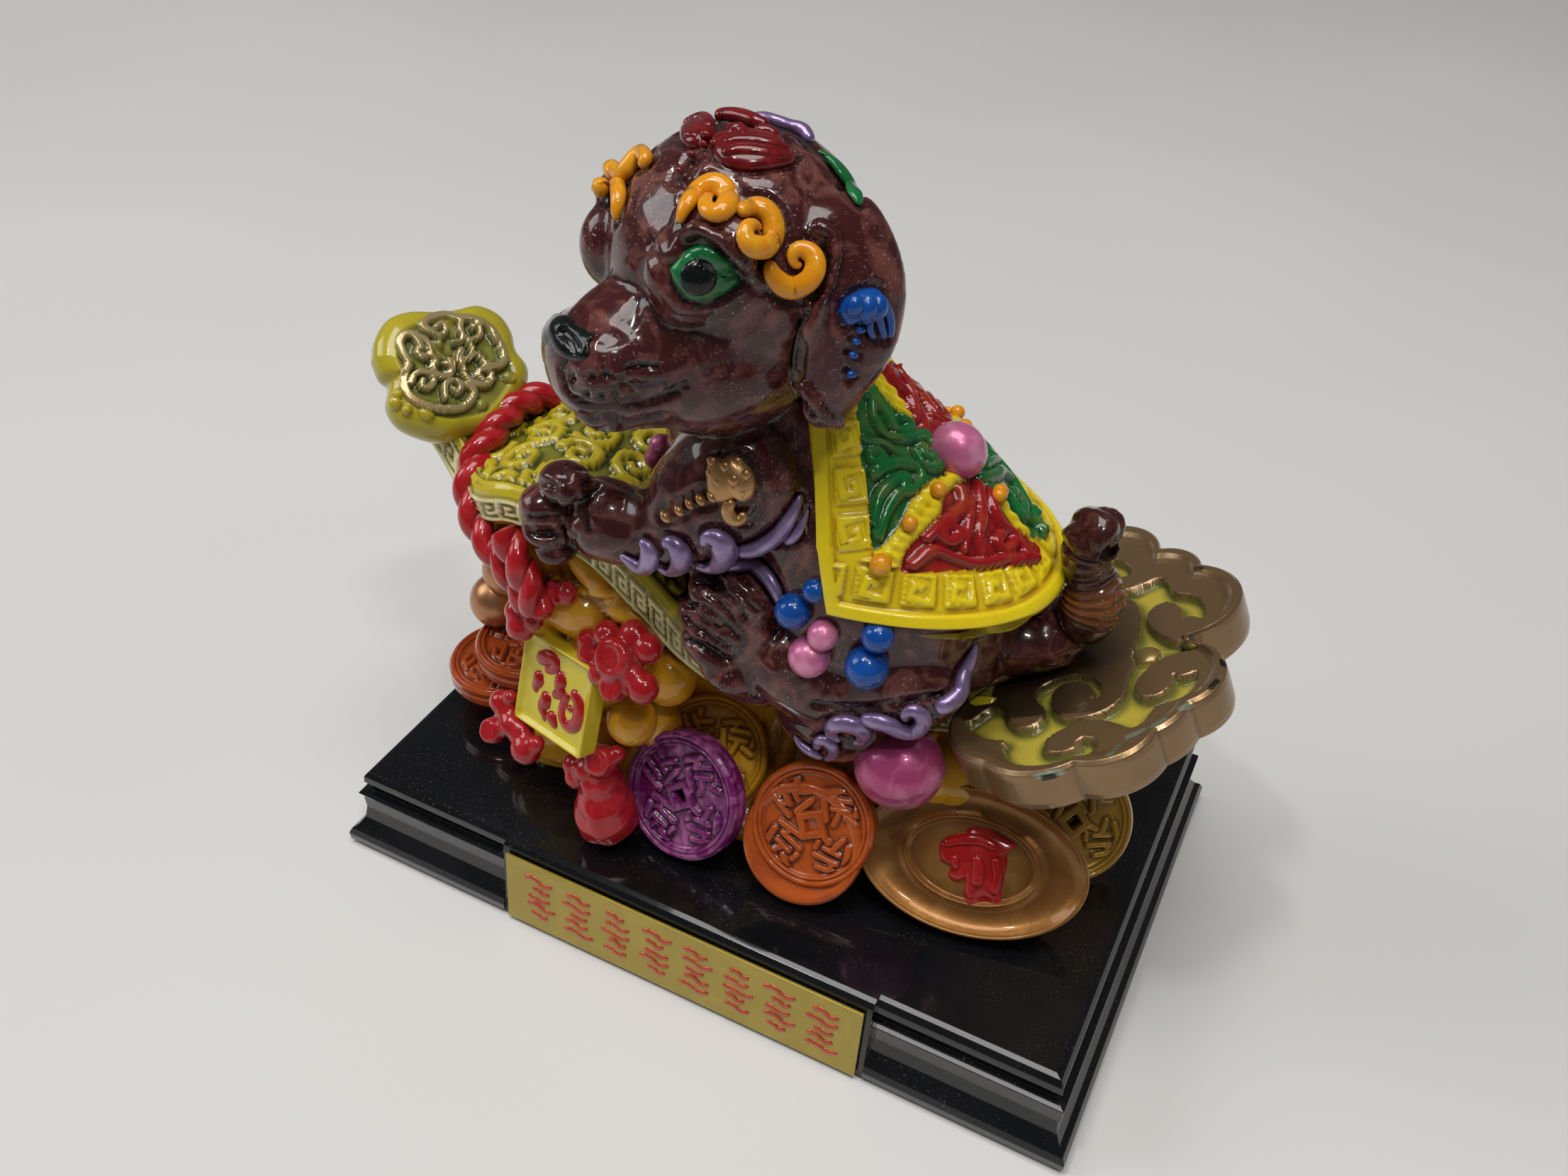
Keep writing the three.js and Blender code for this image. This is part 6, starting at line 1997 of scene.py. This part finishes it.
    def build(self) -> None:
        """Builds the heap's pieces."""
        coins = (
            ("purple_coin", (-9.5, -21.0, 8.9), (-0.28, -0.87, 0.41), 9.7, 0.7, Paint.PURPLE),
            ("orange_coin", (10.2, -21.6, 10.7), (-0.07, -0.85, 0.52), 9.0, 0.45, Paint.ORANGE),
            ("amber_coin", (-8.1, -14.6, 11.6), (0.13, -0.69, 0.71), 8.7, 0.2, Paint.HEAP),
            ("left_coin", (-48.4, -2.2, 6.4), (0, 0, 1), 8.9, 0.3, Paint.RUST),
            ("upper_left_coin", (-43.4, -1.7, 11.4), (0, 0, 1), 8.9, 0.8, Paint.RUST),
            ("olive_coin", (44.6, -7.2, 8.9), (0.33, -0.74, 0.58), 8.8, 0.6, Paint.OLIVE),
        )
        for name, centre, normal, radius, turn, paint in coins:
            self.coin(centre, normal, radius, turn).wear(name, paint)
        self.disc((9.3, -23, 7.9), (-0.07, -0.85, 0.52), 8.9).wear("lower_orange_coin", Paint.ORANGE)
        self.coin((12, 21, 9.9), (0.05, 0.84, 0.54), 9.4, 0.3).wear("far_orange_coin", Paint.ORANGE)
        self.coin((-12, 21.6, 9.4), (-0.05, 0.9, 0.42), 9.4, 0.6).wear("far_purple_coin", Paint.PURPLE)
        self.coin((-45, 9.4, 8.6), (-0.5, 0.7, 0.5), 8.6, 0.5).wear("far_left_coin", Paint.HEAP)
        self.ingot((32.6, -20, 9.4), (0.02, -0.8, 0.6), "ingot")
        self.ingot((32.6, 19, 9.4), (0.02, 0.8, 0.6), "far_ingot")
        balls = [egg((-50.4, 1.5, 16.6), (4.6, 4.6, 4.6)), egg((-48.2, 2.5, 22.6), (4.4, 4.4, 4.4))]
        Clay.of(balls).wear("copper_balls", Paint.COPPER)
        Clay(egg((-18, -19.8, 20), (3.7, 3.7, 3.9))).wear("amber_ball", Paint.HEAP)
        Clay(egg((20.6, -17.6, 22), (6.3, 6, 6))).wear("pink_ball", Paint.MAGENTA)
        self.heap()

    def heap(self) -> None:
        """The amber heap: a mound with round lumps, and smooth curved folds at its foot."""
        levels = np.array([(0, 48, 20.5, -2), (3, 47.5, 20, -2), (4.6, 42, 16.5, -2), (10, 39, 13.2, -2),
                           (15, 36, 10, -2), (20, 33, 9, -3), (29, 26, 9, -3)], float)

        def place(u: Array, v: Array) -> Array:
            """Points round the heap, with folds."""
            z = 29 * v
            a, b, x = (np.interp(z, levels[:, 0], levels[:, k]) for k in (1, 2, 3))
            ends = drawn_in(v)
            turn = 2 * math.pi * u
            return np.stack([x + a * ends * np.cos(turn), b * ends * np.sin(turn), z], 1)

        lumps = [
            egg((-24.2, -14.8, 41), (5.6, 2.6, 2.3), (0.66, 0.1, -0.72)),
            egg((-18.4, -15.4, 35), (4.8, 2.4, 2.4), (0.8, 0.1, -0.5)),
            egg((-27, -14.4, 34.4), (6.2, 4.4, 5)), egg((-21.4, -15.4, 29.8), (5.2, 3.8, 4)),
            egg((-14.2, -15, 25.4), (4.2, 4, 4.6)), egg((-24, -17, 25), (6.4, 4.6, 6)),
            egg((-31, -9, 31), (7, 7, 9)), egg((-33, -14.6, 8), (9.4, 5, 6.4)),
            egg((-17.4, -14.4, 14.6), (5, 4, 6)), egg((-34, -11.6, 40.6), (5.6, 4.4, 5.4)),
            egg((-38.5, -8.5, 40), (5.4, 5, 4.6)), egg((-24, 14.4, 36), (8, 5, 7), (0.8, 0, -0.6)),
            egg((-15, 14.6, 28), (6, 5, 6)), egg((-28, 14, 26), (8, 6, 7)), egg((-31, 9, 33), (7, 7, 9)),
            egg((-33, 14, 10), (9, 5, 8)), egg((-4, 15, 19), (9, 5, 6)), egg((12, 13, 15), (10, 6, 6)),
            egg((-18, 15.4, 17), (6, 5, 6)), egg((26, 8, 15), (8, 8, 7)), egg((26, -8, 15), (8, 8, 7)),
            egg((-38, 4, 25), (6.5, 8, 9)), egg((-35, 11, 21.5), (7, 5.5, 8)),
        ]
        clay = Clay.fused([wrapped(120, 60, place), *lumps], 0.6, 2)
        where = clay.points
        angle = np.arctan2(where[:, 1] / 25, (where[:, 0] + 3) / 51)
        swirl = np.sin(angle * 22 + 1.6 * np.sin(where[:, 2] * 0.3) + 0.8 * np.sin(where[:, 0] * 0.3))
        calm = ease((where[:, 2] - 14) / 4)
        clay.push((0.5 * np.abs(swirl) - 0.45) * ease(where[:, 2] / 1.5) * (1 - calm))
        tree = clay.tree()
        rims = []
        for line, wide, high in (
            ([(430, 1060), (428, 1110), (450, 1190), (500, 1260), (580, 1300), (680, 1312), (770, 1290)],
             0.75, 0.5),
            ([(560, 1090), (600, 1160), (660, 1220), (740, 1250)], 0.6, -0.3),
            ([(690, 1360), (760, 1350), (840, 1375), (920, 1410), (980, 1450)], 0.6, 0.45),
            ([(660, 1440), (700, 1490), (790, 1520), (900, 1530)], 0.6, -0.4),
            ([(470, 1290), (560, 1350), (640, 1420), (650, 1500)], 0.7, -0.35),
            ([(1020, 1560), (1080, 1620), (1140, 1700), (1240, 1740)], 0.6, -0.4),
        ):
            path = smooth_path(line, 60)
            points, _ = FOLD_VIEW.lay(path, tree)
            rims.append(Ridge(points, np.full(60, wide), high))
        clay.carve(rims)
        points = clay.points
        points[:, 2] = np.maximum(points[:, 2], 0)
        clay.points = points
        clay.wear("amber_heap", Paint.HEAP, 0.25)


# Plinth and label plate


@dataclass
class Stand:
    """The lacquered plinth and the label plate on its raised block."""

    depth: float = 76.3
    left: float = -29.6
    right: float = 30.8
    lean: float = math.radians(6)
    label_length: float = 58.5
    label_height: float = 13.0
    label_thickness: float = 0.5
    label_foot: float = 0.7
    gap: float = 0.3
    groups: int = 8
    rows: int = 5

    def block_face(self, z: float) -> float:
        """The Y of the block's leaning face."""
        return -self.depth / 2 + 0.4 + z * math.tan(self.lean)

    def build(self) -> None:
        """Dresses the plinth and makes the label plate."""
        lacquer = Finish("black_lacquer", (0.004, 0.0045, 0.0055), (0.009, 0.009, 0.011),
                         (0.002, 0.002, 0.002), roughness=0.14, blotch_scale=60.0, grain=0.00001,
                         grain_scale=500.0, dust=0.16, slot="lacquer").material()
        self.plinth(lacquer)
        self.label()

    def plinth(self, lacquer: bpy.types.Material) -> None:
        """The plinth with its sharp edges rounded."""
        bm = bmesh.new()
        bm.from_mesh(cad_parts["plinth"].data)
        bmesh.ops.scale(bm, vec=(1 / MILLIMETRE,) * 3, verts=bm.verts)
        bmesh.ops.remove_doubles(bm, verts=bm.verts, dist=0.002)
        bmesh.ops.dissolve_limit(bm, angle_limit=math.radians(1), verts=bm.verts, edges=bm.edges)
        inner = [edge for edge in bm.edges if len(edge.link_faces) == 2]
        sharp = [edge for edge in inner if edge.calc_face_angle(0) > math.radians(8)]
        bmesh.ops.bevel(bm, geom=sharp, affect="EDGES", offset=0.22, offset_type="OFFSET", segments=2,
                        profile=0.5, material=-1, clamp_overlap=True)
        Clay(bm, Place.PLINTH).show("plinth_body", lacquer, "lacquer", "plinth", flat=True)

    def label(self) -> None:
        """The gold label with groups of raised red strokes that spell nothing."""
        low = self.label_foot + self.label_height / 2 * math.cos(self.lean)
        middle = ((self.left + self.right) / 2, self.block_face(low) - self.gap, low)
        matrix = Matrix.Translation(middle) @ Matrix.Rotation(math.pi / 2 - self.lean, 4, "X")
        sizes = (self.label_length, self.label_height, self.label_thickness, 1)
        bm = bmesh.new()
        bmesh.ops.create_cube(bm, size=1.0)
        raised = Matrix.Translation((0, 0, self.label_thickness / 2))
        bmesh.ops.transform(bm, matrix=raised @ Matrix.Diagonal(sizes), verts=bm.verts)
        bmesh.ops.bevel(bm, geom=bm.edges, affect="EDGES", offset=0.12, segments=2, profile=0.5, material=-1)
        bmesh.ops.transform(bm, matrix=matrix, verts=bm.verts)
        foil = Finish("label_gold", (0.4, 0.3, 0.045), (0.5, 0.37, 0.07), (0.2, 0.12, 0.02), roughness=0.3,
                      metallic=0.6, coat=0.6, blotch_scale=120.0, grain_scale=900.0,
                      slot="gold_foil").material()
        Clay(bm, Place.PLINTH).show("label", foil, "gold_foil", "label_plate", flat=True)
        red = Finish("label_red", (0.45, 0.07, 0.02), (0.55, 0.12, 0.04), (0.2, 0.03, 0.01), metallic=0.3,
                     slot="gold_foil").material()
        parts = []
        for group in range(self.groups):
            for row in range(self.rows):
                reach = 2.6 - 0.5 * ((group + 2 * row) % 3)
                x = (group - (self.groups - 1) / 2) * 6.7 + 0.4 * ((group + row) % 2)
                y = 3.5 - 1.75 * row
                line = [(x - reach, y), (x - reach * 0.3, y + 0.5 - 0.25 * (row % 3)),
                        (x + reach * 0.4, y - 0.35), (x + reach, y + 0.3)]
                path = smooth_path([(*(matrix @ Vector((px, py, 0.46))), 0.5) for px, py in line], 20)
                over = np.tile([list(matrix.to_3x3() @ Vector((0, 0, 1)))], (20, 1))
                parts.append(tube(path[:, :3], over, path[:, 3], path[:, 3] * 0.55, 8))
        Clay.of(parts, Place.PLINTH).show("label_strokes", red, "gold_foil", "label_plate")


# Studio


@dataclass(frozen=True)
class Studio:
    """The pale floor, the soft lights and the camera."""

    def floor(self) -> None:
        """A big flat pale floor."""
        bm = bmesh.new()
        bmesh.ops.create_grid(bm, x_segments=1, y_segments=1, size=3.0)
        mesh = bpy.data.meshes.new("floor")
        bm.to_mesh(mesh)
        bm.free()
        shader = Shader("floor_paper")
        tone = shader.mix(shader.noise(6.0, 2.0).clipped(0.3, 0.7), (0.62, 0.61, 0.6), (0.66, 0.65, 0.635))
        shader.feed(Base_Color=tone, Roughness=0.6)
        mesh.materials.append(shader.material)
        floor = bpy.data.objects.new("floor", mesh)
        bpy.context.scene.collection.objects.link(floor)

    def light(self, name: str, place: Triple, target: Triple, size: Pair, power: float,
              tint: Triple = (1, 1, 1)) -> None:
        """A rectangular soft light."""
        data = bpy.data.lights.new(name, "AREA")
        data.shape = "RECTANGLE"
        data.size, data.size_y = size
        data.energy = power
        data.color = tint
        lamp = bpy.data.objects.new(name, data)
        aim = (Vector(target) - Vector(place)).to_track_quat("-Z", "Y").to_matrix().to_4x4()
        lamp.matrix_world = Matrix.Translation(place) @ aim
        bpy.context.scene.collection.objects.link(lamp)

    def build(self) -> None:
        """Adds floor, lights, sky and camera."""
        self.floor()
        centre = (0.0, 0.0, 0.05)
        self.light("ceiling", (0.0, -0.05, 1.3), centre, (0.9, 0.6), 10.5, (1.0, 0.98, 0.95))
        self.light("window", (-1.0, -0.35, 0.75), centre, (0.6, 0.6), 4.4, (0.94, 0.98, 1.0))
        self.light("lamp", (0.35, -0.30, 0.85), centre, (0.12, 0.05), 1.3)
        self.light("lamp_two", (-0.22, -0.28, 0.9), centre, (0.1, 0.05), 1.2)
        world = bpy.data.worlds.new("room")
        world.use_nodes = True
        world.node_tree.nodes["Background"].inputs[0].default_value = (0.9, 0.9, 0.9, 1)
        world.node_tree.nodes["Background"].inputs[1].default_value = 0.1
        bpy.context.scene.world = world
        bpy.context.scene.view_settings.view_transform = "Standard"
        EYE.place_camera()


def main() -> None:
    """Builds the ornament and its studio."""
    logging.basicConfig(level=logging.INFO, format="%(name)s %(message)s")
    Studio().build()
    Stand().build()
    Treasure().build()
    Sceptre().build()
    Tassel().build()
    Puppy().build()
    Blanket().build()


if __name__ == "__main__":
    main()
